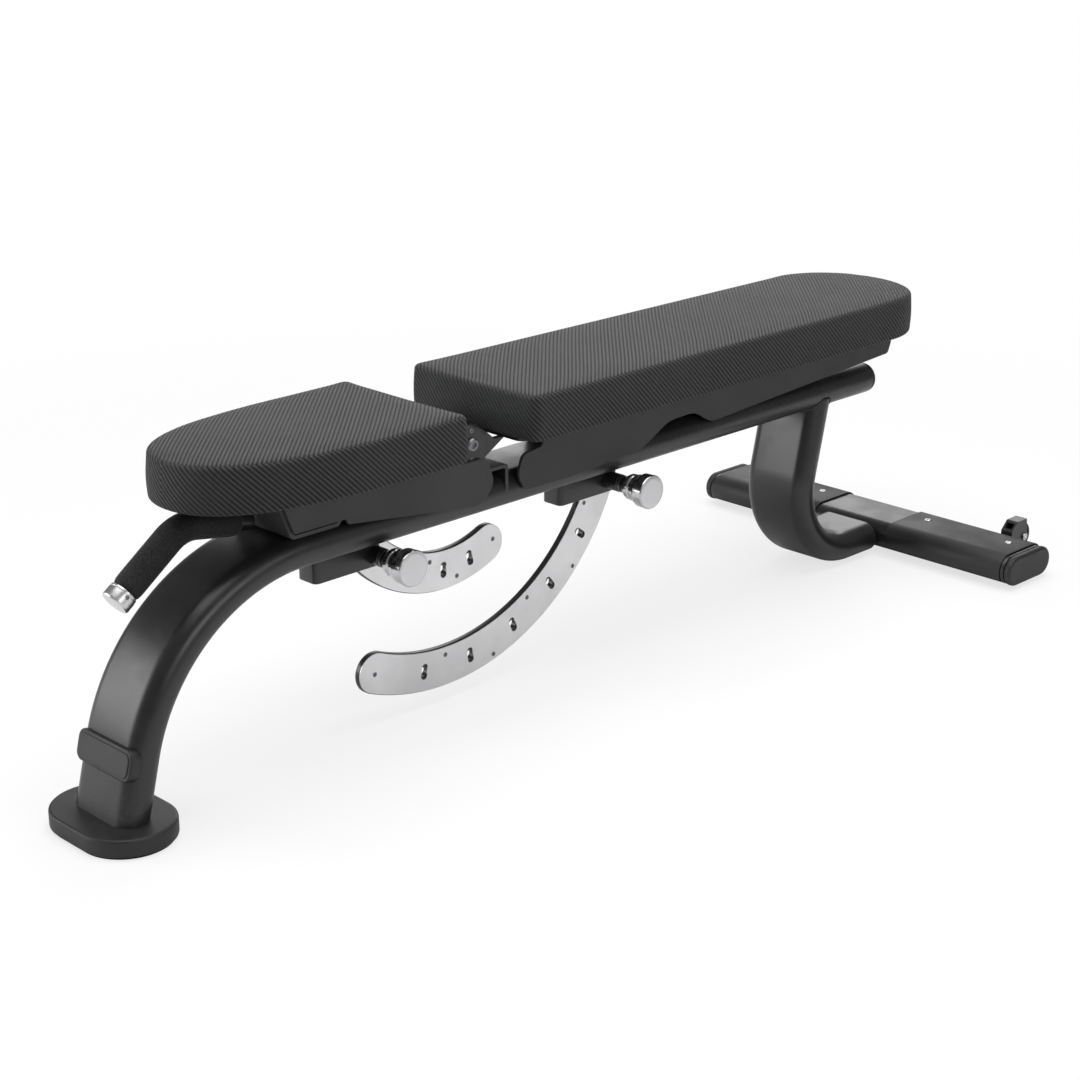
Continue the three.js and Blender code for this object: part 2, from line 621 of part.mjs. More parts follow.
function buildSeat() {
  add('seat_pad', padBlock(seatOutline, 8), upholstery());
  const deckSpan = upZ(seatOutline(34), DECK.under, DECK.under + DECK.thick, 6);
  add('seat_deck', deckSpan, powderCoat());

  const side = roundedOutline([
    [293, plateTop, 0],
    [311, 341, 4],
    [394, 341, 3],
    [398, 333, 3],
    [630, 303, 26],
    [655, 330, 22],
    [640, 368, 16],
    [596, 368, 10],
    [578, plateTop, 6],
  ]);
  bothSides('seat_side_plate', (s) => {
    return acrossY(side, ...spanY(s, PLATE.inner, PLATE.inner + PLATE.thick), 5);
  }, plateCoat);

  // Bent cross member: a raked front web and a foot that rests on the beam.
  const member = roundedOutline([
    [288, plateTop, 0],
    [310, beamTop + 0.8, 8],
    [386, beamTop + 0.8, 8],
    [393, beamTop + 9, 0],
    [387, beamTop + 9, 0],
    [383, beamTop + 6.2, 3],
    [315, beamTop + 6.2, 3],
    [294, plateTop, 0],
  ]);
  const memberSpan = PLATE.inner - GAP;
  add('seat_front_member', acrossY(member, -memberSpan, memberSpan, 4), plateCoat());

  const lug = new THREE.Shape();
  lug.moveTo(520, plateTop);
  lug.lineTo(520, plateTop - 14);
  lug.lineTo(PIVOT.x - 5, PIVOT.z - 22);
  lug.absarc(PIVOT.x, PIVOT.z, 22, -Math.PI / 2, (2 * Math.PI) / 3, false);
  lug.lineTo(PIVOT.x - 50, plateTop);
  lug.closePath();
  bothSides('seat_hinge_lug', (s) => hingeLug(s, 31, lug), powderCoat);
  bothSides('seat_hinge_bush', (s) => hingeBush(s, 31), bronze);

  buildArc('seat', SEAT_ARC, SEAT_ARC.top + 3);
  const [topX] = onArc(SEAT_ARC.hole, SEAT_ARC.top);
  add('seat_arc_bracket', arcBracket(topX, 352), powderCoat());
}

function buildHandle() {
  const start = [291, 349];
  const corner = [186, 367];
  const bar = new THREE.Shape().absarc(0, 0, HANDLE.tube, 0, 2 * Math.PI, false);
  add('handle_tube', sweep(bar, bentRun(start, corner, HANDLE.end, HANDLE.bend, 0, deg(8)), 8), powderCoat());

  const along = (from, to, distance) => {
    const a = new THREE.Vector2(...from);
    return a.add(new THREE.Vector2(...to).sub(a).setLength(distance)).toArray();
  };
  const gripEnd = along(HANDLE.end, corner, 17);
  const gripStart = along(start, corner, 46);
  const ringSolid = (outer, path) => {
    const skin = new THREE.Shape().absarc(0, 0, outer, 0, 2 * Math.PI, false);
    return sweep(skin, path, 9);
  };
  const core = ringSolid(HANDLE.tube + GAP, bentRun(start, corner, HANDLE.end, HANDLE.bend, 2, deg(8)));
  const grip = ringSolid(HANDLE.foam, bentRun(gripStart, corner, gripEnd, HANDLE.bend, 0, deg(8)));
  add('handle_grip', cut(grip, core), foam());

  const capStart = along(HANDLE.end, corner, 16.7);
  const tip = along(corner, HANDLE.end, new THREE.Vector2(...corner).distanceTo(new THREE.Vector2(...HANDLE.end)) + 3);
  const straight = (a, b) => {
    const angle = Math.atan2(b[1] - a[1], b[0] - a[0]);
    return new StationPath([{ x: a[0], z: a[1], angle }, { x: b[0], z: b[1], angle }]);
  };
  const cap = ringSolid(HANDLE.foam, straight(capStart, tip));
  const socket = ringSolid(HANDLE.tube + GAP, straight(along(capStart, corner, 2), along(HANDLE.end, tip, GAP)));
  add('handle_end_cap', cut(cap, socket), chrome());
}

function buildBack() {
  add('back_pad', padBlock(backOutline, 5), upholstery());
  const deck = roundedBox(BACK.front + 8, BACK.shoulder + 23, -DECK.half, DECK.half, 12);
  add('back_deck', upZ(deck, DECK.under, DECK.under + DECK.thick, 4), powderCoat());

  const bumper = [[708, 358, 14], [698, 330, 22], [712, 306, 14], [800, 305, 30]];
  const plainEnd = [[834, plateTop, 0], [842, 338, 16], [872, 309, 18]];
  const run = [
    [945, 313, 60],
    [1005, 344, 60],
    [1062, 346, 50],
    [1100, 323, 40],
    [1534, 349, 8],
    [1541, 366, 8],
    [1541, plateTop, 0],
  ];
  const neck = [[752, plateTop, 0], [744, 362, 6]];
  bothSides('back_side_plate', (s) => {
    const corners = s < 0 ? [...bumper, ...run, ...neck] : [...plainEnd, ...run];
    return acrossY(roundedOutline(corners), ...spanY(s, PLATE.inner, PLATE.inner + PLATE.thick), 6);
  }, plateCoat);

  const lug = new THREE.Shape();
  lug.moveTo(690, plateTop);
  lug.lineTo(668, plateTop);
  lug.lineTo(660, PIVOT.z + 8);
  lug.absarc(PIVOT.x, PIVOT.z, 24, Math.PI / 3, (3 * Math.PI) / 2, false);
  lug.lineTo(650, PIVOT.z - 27);
  lug.closePath();
  bothSides('back_hinge_lug', (s) => hingeLug(s, 43, lug), powderCoat);
  bothSides('back_hinge_bush', (s) => hingeBush(s, 43), bronze);

  buildArc('back', BACK_ARC, BACK_ARC.top - 3);
  const [topX] = onArc(BACK_ARC.hole, BACK_ARC.top);
  add('back_arc_bracket', arcBracket(topX, 356), powderCoat());
}

buildSpine();
buildFrontFoot();
buildBadge();
buildRear();
buildWheels();
buildPinStation('seat', seatPin, 378, 489, 0);
buildPinStation('back', backPin, 828, 944, BACK_PIN_LONGER);
buildPedestal();
buildSeat();
buildHandle();
buildBack();

// The bench stands on Z = 0 with its origin under the middle of its length.
const reach = new THREE.Box3().setFromObject(bench);
bench.position.x = -(reach.min.x + reach.max.x) / 2;

export default bench;
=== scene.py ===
"""Looks of an adjustable weight bench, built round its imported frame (metres, +Z up, head end at +X).

Lengths inside the classes are millimetres, with x counted from the front foot's front edge; `in_frame`
turns them into the frame's metres when a mesh is made.
"""

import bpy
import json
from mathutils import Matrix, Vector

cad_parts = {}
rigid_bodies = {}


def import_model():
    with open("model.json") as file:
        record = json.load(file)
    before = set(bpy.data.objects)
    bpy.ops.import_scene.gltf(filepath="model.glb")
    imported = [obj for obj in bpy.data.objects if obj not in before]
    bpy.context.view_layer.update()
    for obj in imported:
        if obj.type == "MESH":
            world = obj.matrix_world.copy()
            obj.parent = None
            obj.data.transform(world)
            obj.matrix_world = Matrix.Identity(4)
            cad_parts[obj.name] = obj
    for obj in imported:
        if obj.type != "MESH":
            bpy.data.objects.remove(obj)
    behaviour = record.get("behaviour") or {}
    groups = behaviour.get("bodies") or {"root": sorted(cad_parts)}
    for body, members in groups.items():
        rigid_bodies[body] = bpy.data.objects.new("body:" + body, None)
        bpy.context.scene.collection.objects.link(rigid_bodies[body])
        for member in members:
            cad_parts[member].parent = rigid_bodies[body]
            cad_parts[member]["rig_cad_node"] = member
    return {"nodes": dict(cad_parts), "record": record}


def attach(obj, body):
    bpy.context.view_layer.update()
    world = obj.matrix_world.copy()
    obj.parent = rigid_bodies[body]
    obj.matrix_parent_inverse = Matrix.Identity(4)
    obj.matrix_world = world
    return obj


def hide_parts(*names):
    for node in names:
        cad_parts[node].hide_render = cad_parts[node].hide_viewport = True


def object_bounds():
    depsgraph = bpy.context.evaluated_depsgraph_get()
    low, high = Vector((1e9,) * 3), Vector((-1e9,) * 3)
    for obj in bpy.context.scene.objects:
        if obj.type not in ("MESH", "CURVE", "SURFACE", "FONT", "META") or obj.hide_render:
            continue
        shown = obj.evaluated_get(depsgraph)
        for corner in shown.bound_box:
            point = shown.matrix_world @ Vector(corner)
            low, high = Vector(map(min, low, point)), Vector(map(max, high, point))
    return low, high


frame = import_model()
CAD_BOX = [list(corner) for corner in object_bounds()]

import json
import logging
import math
from dataclasses import dataclass, field
from enum import Enum
from typing import Iterable, Sequence

import bmesh
import bpy
import numpy as np
from mathutils import Vector

LOG = logging.getLogger("bench")
Array = np.ndarray
MM = 0.001
FRONT_EDGE = CAD_BOX[0][0]
NODES = frame["nodes"]
# Millimetres as (x, z) on the middle plane: the common axle, the decks' underside, the beam's centre,
# the rear post's top and the height of its run to the crossbar. Degrees: the post's lean, sharp edges.
AXLE = (618.0, 390.0)
DECK_UNDER = 386.4
BEAM_Z = 307.4
POST_LEAN = 13.0
POST_TOP = (1386.4, 300.0)
POST_RUN_Z = 28.0
CREASE = 38.0


class Axis(Enum):
    """Direction along which a flat outline is carried."""

    X = 0
    Y = 1
    Z = 2


class Side(Enum):
    """Which side of the bench a mirrored piece is on; the knobs are on the right."""

    RIGHT = -1
    LEFT = 1

    def span(self, inner: float, outer: float) -> tuple[float, float]:
        """Lower and upper y of a piece between two distances from the middle plane."""
        return (-outer, -inner) if self is Side.RIGHT else (inner, outer)


# ------------------------------------------------------------------------------------------
# Surfaces
# ------------------------------------------------------------------------------------------
def in_frame(points: Array) -> Array:
    """Bench millimetres to frame metres.

    Args:
        points: Array whose last axis is x, y, z.

    Returns:
        A new array in metres.
    """
    out = np.asarray(points, float) * MM
    out[..., 0] += FRONT_EDGE
    return out


def turned_arc(centre: Sequence[float], radius: float, start: float, stop: float, count: int) -> Array:
    """Points of a circle arc: centre + radius * (cos a, sin a), a from start to stop in degrees.

    Returns:
        Array of shape (count, 2).
    """
    a = np.radians(np.linspace(start, stop, count))
    return np.stack([centre[0] + radius * np.cos(a), centre[1] + radius * np.sin(a)], -1)


def stadium(length: float, width: float, centre: Sequence[float] = (0, 0), count: int = 26) -> Array:
    """Straight-sided outline with half-round ends, its long side along the first axis.

    Returns:
        Anticlockwise outline of shape (2 * count, 2).
    """
    r = width / 2
    flat = length / 2 - r
    right = turned_arc((centre[0] + flat, centre[1]), r, -90, 90, count)
    left = turned_arc((centre[0] - flat, centre[1]), r, 90, 270, count)
    return np.concatenate([right, left])


def rounded(corners: Sequence[Sequence[float]], closed: bool = True, steps: int = 7) -> Array:
    """Polyline with each corner replaced by an arc tangent to its two edges.

    The arc of radius r starts r / tan(half the corner's angle) before the corner, and is
    shortened where the edges are too short for it.

    Args:
        corners: (u, v, radius) of each corner; the radius may be left out.
        closed: Whether the last corner joins the first.
        steps: Points in each arc.

    Returns:
        Array of points, shape (n, 2).
    """
    sharp = np.array([c[:2] for c in corners], float)
    radii = [c[2] if len(c) > 2 else 0.0 for c in corners]
    out: list[Array] = []
    for i, here in enumerate(sharp):
        if radii[i] <= 0 or (not closed and i in (0, len(sharp) - 1)):
            out.append(here[None])
            continue
        before = sharp[i - 1] - here
        after = sharp[(i + 1) % len(sharp)] - here
        shortest = min(np.linalg.norm(before), np.linalg.norm(after))
        before = before / np.linalg.norm(before)
        after = after / np.linalg.norm(after)
        half = math.acos(float(np.clip(before @ after, -1, 1))) / 2
        if half > math.pi / 2 - 1e-3:
            out.append(here[None])
            continue
        reach = min(radii[i] / math.tan(half), 0.49 * shortest)
        radius = reach * math.tan(half)
        inward = (before + after) / np.linalg.norm(before + after)
        centre = here + inward * radius / math.sin(half)
        a0 = math.atan2(*(here + before * reach - centre)[::-1])
        turn = math.atan2(*(here + after * reach - centre)[::-1]) - a0
        turn = (turn + math.pi) % (2 * math.pi) - math.pi
        a = a0 + turn * np.linspace(0, 1, steps)
        out.append(centre + radius * np.stack([np.cos(a), np.sin(a)], -1))
    return np.concatenate(out)


def inset(outline: Array, distance: float) -> Array:
    """Closed outline moved inwards along the mean normal of each point's two edges.

    The move is divided by the cosine of half the turn, so that both edges shift by distance.

    Returns:
        Outline of the same shape.
    """
    ahead = np.roll(outline, -1, 0) - outline
    ahead /= np.maximum(np.linalg.norm(ahead, axis=1, keepdims=True), 1e-9)
    behind = np.roll(ahead, 1, 0)
    mean = ahead + behind
    mean /= np.maximum(np.linalg.norm(mean, axis=1, keepdims=True), 1e-9)
    normal = np.stack([mean[:, 1], -mean[:, 0]], -1)
    cosine = np.maximum((mean * ahead).sum(1, keepdims=True), 0.5)
    area = 0.5 * float(
        np.sum(outline[:, 0] * np.roll(outline[:, 1], -1) - outline[:, 1] * np.roll(outline[:, 0], -1))
    )
    return outline - normal * distance / cosine * (1 if area > 0 else -1)


def bent_run(
    start: Sequence[float], corner: Sequence[float], end: Sequence[float], radius: float, step: float = 2.0,
) -> Array:
    """Path in the middle plane: a straight, an arc of the given radius round the corner, a straight.

    Returns:
        Array of (x, z, heading in radians), one row a station.
    """
    a, b, c = (np.array(p, float) for p in (start, corner, end))
    into = (b - a) / np.linalg.norm(b - a)
    out = (c - b) / np.linalg.norm(c - b)
    first = math.atan2(into[1], into[0])
    turn = (math.atan2(out[1], out[0]) - first + math.pi) % (2 * math.pi) - math.pi
    side = 1.0 if turn > 0 else -1.0
    bend = b - into * radius * math.tan(abs(turn) / 2)
    centre = bend + np.array([-into[1], into[0]]) * side * radius
    heading = first + turn * np.linspace(0, 1, max(3, int(abs(math.degrees(turn)) / step)))
    x = centre[0] + side * radius * np.sin(heading)
    z = centre[1] - side * radius * np.cos(heading)
    arc = np.stack([x, z, heading], -1)
    head = np.array([[a[0], a[1], first]])
    tail = np.array([[c[0], c[1], heading[-1]]])
    return np.concatenate([head, arc, tail])


class Shell:
    """One closed surface, gathered from grids and caps and made into an object."""

    def __init__(self) -> None:
        """Start with no points."""
        self.points: list[Array] = []
        self.faces: list[list[int]] = []
        self.count = 0

    def grid(self, points: Array, around: bool = True, caps: bool = True) -> "Shell":
        """Add a surface over two parameters.

        Args:
            points: Array (rows, columns, 3) in bench millimetres.
            around: Whether the last column joins the first.
            caps: Whether the first and last rows are closed by a flat face.

        Returns:
            This shell.
        """
        rows, columns = points.shape[:2]
        index = self.count + np.arange(rows * columns).reshape(rows, columns)
        wide = np.concatenate([index, index[:, :1]], 1) if around else index
        quads = np.stack([wide[:-1, :-1], wide[:-1, 1:], wide[1:, 1:], wide[1:, :-1]], -1)
        self.faces += quads.reshape(-1, 4).tolist()
        if caps:
            self.faces += [index[0][::-1].tolist(), index[-1].tolist()]
        self.points.append(in_frame(points.reshape(-1, 3)))
        self.count += rows * columns
        return self

    def make(self, name: str, crease: float = CREASE) -> bpy.types.Object:
        """Make the object, with poles merged, faces outwards and creases marked.

        Args:
            name: The piece's name.
            crease: Angle in degrees past which an edge stays sharp.

        Returns:
            The new object, linked to the scene.
        """
        mesh = bpy.data.meshes.new(name)
        mesh.from_pydata(np.concatenate(self.points).tolist(), [], self.faces)
        work = bmesh.new()
        work.from_mesh(mesh)
        bmesh.ops.remove_doubles(work, verts=work.verts, dist=2e-6)
        bmesh.ops.recalc_face_normals(work, faces=work.faces)
        work.to_mesh(mesh)
        work.free()
        mesh.shade_smooth()
        mesh.set_sharp_from_angle(angle=math.radians(crease))
        keep_caps_flat(mesh)
        return link(bpy.data.objects.new(name, mesh))


def keep_caps_flat(mesh: bpy.types.Mesh) -> None:
    """Mark the rim of every many-sided face sharp, so that flat faces shade flat."""
    totals = np.zeros(len(mesh.polygons), np.int32)
    edges = np.zeros(len(mesh.loops), np.int32)
    mesh.polygons.foreach_get("loop_total", totals)
    mesh.loops.foreach_get("edge_index", edges)
    rims = edges[np.repeat(totals > 4, totals)]
    marks = mesh.attributes.get("sharp_edge") or mesh.attributes.new("sharp_edge", "BOOLEAN", "EDGE")
    values = np.zeros(len(mesh.edges), bool)
    marks.data.foreach_get("value", values)
    values[rims] = True
    marks.data.foreach_set("value", values)


def link(piece: bpy.types.Object) -> bpy.types.Object:
    """Put an object in the scene."""
    bpy.context.scene.collection.objects.link(piece)
    return piece


def carried(outline: Array, low: float, high: float, ease: float, axis: Axis, steps: int = 4) -> Array:
    """Outline carried along an axis, its two rims rounded to quarter circles of radius ease.

    Row angles t run 0..90 degrees at each end: the outline is inset by ease * (1 - sin t) and
    stands ease * (1 - cos t) inside the face.

    Returns:
        Grid (rows, points, 3) in bench millimetres.
    """
    t = np.radians(np.linspace(0, 90, steps))
    depth = np.concatenate([low + ease * (1 - np.cos(t)), (high - ease * (1 - np.cos(t)))[::-1]])
    pull = np.concatenate([ease * (1 - np.sin(t)), (ease * (1 - np.sin(t)))[::-1]])
    rings = np.stack([inset(outline, float(p)) if p > 1e-9 else outline for p in pull])
    level = np.broadcast_to(depth[:, None], rings.shape[:2])
    u, v = rings[..., 0], rings[..., 1]
    order = {Axis.X: (level, u, v), Axis.Y: (u, level, v), Axis.Z: (u, v, level)}[axis]
    return np.stack(order, -1)


def slab(name: str, outline: Array, low: float, high: float, ease: float, axis: Axis) -> bpy.types.Object:
    """Plate or block with rounded rims, made from its flat outline."""
    return Shell().grid(carried(outline, low, high, ease, axis)).make(name)


def swept(path: Array, section: Array) -> Array:
    """Section carried along a path in the middle plane.

    A section point (s, n) at a station (x, z, heading h) lies at (x - n sin h, s, z + n cos h).

    Returns:
        Grid (stations, section points, 3).
    """
    x, z, h = (path[:, i][:, None] for i in range(3))
    s, n = section[None, :, 0], section[None, :, 1]
    return np.stack([x - n * np.sin(h), s + 0 * x, z + n * np.cos(h)], -1)


def hollow_sweep(name: str, path: Array, outer: Array, inner: Array) -> bpy.types.Object:
    """Open-ended tube with a real wall: outer skin, end rim, inner skin, end rim, in one loop of rows."""
    skin, bore = swept(path, outer), swept(path, inner)
    rows = np.concatenate([skin, bore[::-1], skin[:1]])
    return Shell().grid(rows, caps=False).make(name)


def lathe(profile: Array, origin: Sequence[float], axis: Sequence[float], sides: int = 64) -> Array:
    """Profile of (radius, reach) turned round an axis: origin + reach * axis + radius * (cos p U + sin p V).

    Returns:
        Grid (profile points, sides, 3).
    """
    w = np.array(axis, float) / np.linalg.norm(axis)
    u = np.cross(w, (0.0, 0.0, 1.0) if abs(w[2]) < 0.9 else (1.0, 0.0, 0.0))
    u /= np.linalg.norm(u)
    v = np.cross(w, u)
    p = np.linspace(0, 2 * math.pi, sides, endpoint=False)
    ring = np.cos(p)[:, None] * u + np.sin(p)[:, None] * v
    return np.array(origin, float) + profile[:, None, 1:2] * w + profile[:, None, 0:1] * ring


def turned(
    name: str, corners: Sequence[Sequence[float]], origin: Sequence[float], axis: Sequence[float],
    sides: int = 64,
) -> bpy.types.Object:
    """Turned piece: corners are (radius, reach, rounding), from the axis and back to it."""
    return Shell().grid(
        lathe(rounded(corners, closed=False, steps=5), origin, axis, sides), caps=False,
    ).make(name)


def ring_turned(
    name: str, corners: Sequence[Sequence[float]], origin: Sequence[float], axis: Sequence[float],
    sides: int = 64,
) -> bpy.types.Object:
    """Turned piece with a bore: the corners make a closed loop off the axis."""
    loop = rounded(corners, steps=5)
    loop = np.concatenate([loop, loop[:1]])
    return Shell().grid(lathe(loop, origin, axis, sides), caps=False).make(name)


def carve(piece: bpy.types.Object, cutters: Iterable[bpy.types.Object]) -> bpy.types.Object:
    """Cut the cutters out of a piece, fix the result in its mesh and remove the cutters."""
    cutters = list(cutters)
    for cutter in cutters:
        cut = piece.modifiers.new("cut", "BOOLEAN")
        cut.operation = "DIFFERENCE"
        cut.solver = "EXACT"
        cut.object = cutter
    bake_modifiers(piece)
    for cutter in cutters:
        bpy.data.objects.remove(cutter)
    piece.data.set_sharp_from_angle(angle=math.radians(CREASE))
    keep_caps_flat(piece.data)
    return piece


def bake_modifiers(piece: bpy.types.Object) -> None:
    """Replace a piece's mesh by its finished form and drop its modifiers."""
    bpy.context.view_layer.update()
    done = bpy.data.meshes.new_from_object(piece.evaluated_get(bpy.context.evaluated_depsgraph_get()))
    piece.modifiers.clear()
    old, piece.data = piece.data, done
    bpy.data.meshes.remove(old)


def on_arc(radius: Array | float, angle: Array | float, pivot: Sequence[float]) -> Array:
    """Point on a circle about the common axle; 0 degrees hangs straight down, positive towards the head."""
    a = np.radians(angle)
    return np.stack([pivot[0] + radius * np.sin(a), pivot[1] - radius * np.cos(a)], -1)


# ------------------------------------------------------------------------------------------
# Shader building blocks
# ------------------------------------------------------------------------------------------
class Tree:
    """Short hand for adding and joining shader nodes."""

    def __init__(self, tree: bpy.types.NodeTree) -> None:
        """Wrap a node tree."""
        self.tree = tree

    def add(self, kind: str, inputs: dict | None = None, **settings: object) -> bpy.types.Node:
        """Add a node.

        Args:
            kind: Node type name.
            inputs: Socket name or number to a value or to an output socket.
            **settings: Attributes of the node.

        Returns:
            The node.
        """
        node = self.tree.nodes.new(kind)
        for key, value in settings.items():
            setattr(node, key, value)
        for key, value in (inputs or {}).items():
            if isinstance(value, bpy.types.NodeSocket):
                self.tree.links.new(value, node.inputs[key])
            else:
                node.inputs[key].default_value = value
        return node

    def maths(self, operation: str, a: object, b: object = 0.5, clamp: bool = False) -> bpy.types.NodeSocket:
        """Add a Math node and return its output."""
        return self.add("ShaderNodeMath", {0: a, 1: b}, operation=operation, use_clamp=clamp).outputs[0]

    def ramp(
        self, value: object, low: float, high: float, to_low: float = 0.0, to_high: float = 1.0,
    ) -> bpy.types.NodeSocket:
        """Map a value smoothly from low..high to to_low..to_high."""
        inputs = {0: value, 1: low, 2: high, 3: to_low, 4: to_high}
        return self.add("ShaderNodeMapRange", inputs, interpolation_type="SMOOTHSTEP").outputs[0]

    def mix(self, mask: object, first: object, second: object) -> bpy.types.NodeSocket:
        """Mix two colours by a mask."""
        return self.add("ShaderNodeMix", {0: mask, 6: first, 7: second}, data_type="RGBA").outputs[2]

    def noise(
        self, vector: object, scale: float, detail: float = 3.0, roughness: float = 0.55,
    ) -> bpy.types.NodeSocket:
        """Add a noise texture and return its value."""
        inputs = {"Vector": vector, "Scale": scale, "Detail": detail, "Roughness": roughness}
        return self.add("ShaderNodeTexNoise", inputs).outputs[0]


def new_group(
    name: str, inputs: dict[str, tuple[str, object]], outputs: Sequence[str],
) -> tuple[Tree, bpy.types.Node, bpy.types.Node]:
    """Start a shader node group.

    Args:
        name: Group name.
        inputs: Socket name to (socket type, default value or None).
        outputs: Names of its value outputs.

    Returns:
        The tree, its input node and its output node.
    """
    group = bpy.data.node_groups.new(name, "ShaderNodeTree")
    for label, (kind, value) in inputs.items():
        socket = group.interface.new_socket(name=label, in_out="INPUT", socket_type=kind)
        if value is not None:
            socket.default_value = value
    for label in outputs:
        group.interface.new_socket(name=label, in_out="OUTPUT", socket_type="NodeSocketFloat")
    tree = Tree(group)
    return tree, tree.add("NodeGroupInput"), tree.add("NodeGroupOutput")


def grain_group() -> bpy.types.NodeTree:
    """Pebbled skin of paint, plastic or foam: fine noise for height, slow noise for tone."""
    tree, given, result = new_group(
        "surface_grain",
        {
            "Vector": ("NodeSocketVector", None), "Grain Scale": ("NodeSocketFloat", 900.0),
            "Tone Scale": ("NodeSocketFloat", 14.0),
        },
        ("Height", "Tone"),
    )
    fine = tree.add(
        "ShaderNodeTexNoise",
        {"Vector": given.outputs[0], "Scale": given.outputs[1], "Detail": 4.0, "Roughness": 0.6},
    )
    slow = tree.add(
        "ShaderNodeTexNoise",
        {"Vector": given.outputs[0], "Scale": given.outputs[2], "Detail": 5.0, "Roughness": 0.6},
    )
    tree.tree.links.new(fine.outputs[0], result.inputs[0])
    tree.tree.links.new(tree.ramp(slow.outputs[0], 0.3, 0.7), result.inputs[1])
    return tree.tree


def dust_group() -> bpy.types.NodeTree:
    """Thin dust that settles on faces turned upwards, broken up by noise."""
    tree, given, result = new_group(
        "settled_dust",
        {"Vector": ("NodeSocketVector", None), "Amount": ("NodeSocketFloat", 0.1)},
        ("Mask",),
    )
    normal = tree.add("ShaderNodeNewGeometry").outputs["Normal"]
    up = tree.add("ShaderNodeSeparateXYZ", {0: normal}).outputs[2]
    facing = tree.ramp(up, 0.25, 1.0)
    cloud = tree.ramp(tree.noise(given.outputs[0], 22.0, 6.0, 0.7), 0.35, 0.75)
    mask = tree.maths("MULTIPLY", tree.maths("MULTIPLY", facing, cloud), given.outputs[1])
    tree.tree.links.new(mask, result.inputs[0])
    return tree.tree


def wear_group() -> bpy.types.NodeTree:
    """Bare metal rubbed through on outer edges: the mesh's own pointedness, broken up by noise."""
    tree, given, result = new_group(
        "edge_wear",
        {"Vector": ("NodeSocketVector", None), "Amount": ("NodeSocketFloat", 0.3)},
        ("Mask",),
    )
    pointed = tree.add("ShaderNodeNewGeometry").outputs["Pointiness"]
    edge = tree.ramp(pointed, 0.54, 0.68)
    broken = tree.ramp(tree.noise(given.outputs[0], 160.0, 5.0, 0.7), 0.48, 0.66)
    mask = tree.maths("MULTIPLY", tree.maths("MULTIPLY", edge, broken), given.outputs[1])
    tree.tree.links.new(mask, result.inputs[0])
    return tree.tree


def brushed_group() -> bpy.types.NodeTree:
    """Fine parallel polishing lines: noise stretched strongly along one direction."""
    tree, given, result = new_group(
        "brushed_lines",
        {"Vector": ("NodeSocketVector", None), "Fineness": ("NodeSocketFloat", 1.0)},
        ("Height", "Tone"),
    )
    stretched = tree.add(
        "ShaderNodeMapping", {0: given.outputs[0], 3: (30.0, 400.0, 2600.0)}, vector_type="POINT",
    )
    scaled = tree.add(
        "ShaderNodeVectorMath", {0: stretched.outputs[0], 3: given.outputs[1]}, operation="SCALE",
    )
    lines = tree.add(
        "ShaderNodeTexNoise", {"Vector": scaled.outputs[0], "Scale": 1.0, "Detail": 3.0, "Roughness": 0.6},
    )
    cloud = tree.noise(given.outputs[0], 9.0, 4.0, 0.6)
    tree.tree.links.new(lines.outputs[0], result.inputs[0])
    tree.tree.links.new(tree.ramp(cloud, 0.3, 0.7), result.inputs[1])
    return tree.tree


def rib_group() -> bpy.types.NodeTree:
    """Ribbed leatherette: round ribs across U, each crossed by small stitch-like dents along V.

    The rib's height is |sin(pi U)|; the dents multiply it by 1 - depth * cos^8(pi V / length).
    """
    tree, given, result = new_group(
        "ribbed_weave",
        {
            "Vector": ("NodeSocketVector", None), "Dents per mm": ("NodeSocketFloat", 0.55),
            "Dent Depth": ("NodeSocketFloat", 0.2),
        },
        ("Height", "Tone"),
    )
    parts = tree.add("ShaderNodeSeparateXYZ", {0: given.outputs[0]})
    across = tree.maths("MULTIPLY", parts.outputs[0], math.pi)
    rib = tree.maths("ABSOLUTE", tree.maths("SINE", across, 0.0), 0.0)
    row = tree.maths("FLOOR", parts.outputs[0], 0.0)
    shift = tree.maths("MULTIPLY", row, 0.5)
    along = tree.maths("ADD", tree.maths("MULTIPLY", parts.outputs[1], given.outputs[1]), shift)
    dent = tree.maths(
        "POWER",
        tree.maths("ABSOLUTE", tree.maths("COSINE", tree.maths("MULTIPLY", along, math.pi), 0.0), 0.0), 6.0,
    )
    kept = tree.maths("SUBTRACT", 1.0, tree.maths("MULTIPLY", dent, given.outputs[2]))
    height = tree.maths("MULTIPLY", tree.maths("POWER", rib, 0.7), kept)
    tree.tree.links.new(height, result.inputs[0])
    # Tone is 0 in the grooves and 1 on the crests; the upholstery uses it to paint shade into the grooves.
    tree.tree.links.new(tree.ramp(rib, 0.15, 0.85), result.inputs[1])
    return tree.tree


class Groups:
    """The shared node groups, each built once."""

    def __init__(self) -> None:
        """Build every group."""
        self.grain = grain_group()
        self.dust = dust_group()
        self.wear = wear_group()
        self.brushed = brushed_group()
        self.ribs = rib_group()


GROUPS = Groups()
Colour = tuple[float, float, float, float]


def grey(value: float, tint: float = 0.0) -> Colour:
    """Neutral colour, a little bluer with a positive tint."""
    return (value, value, value * (1 + tint), 1.0)


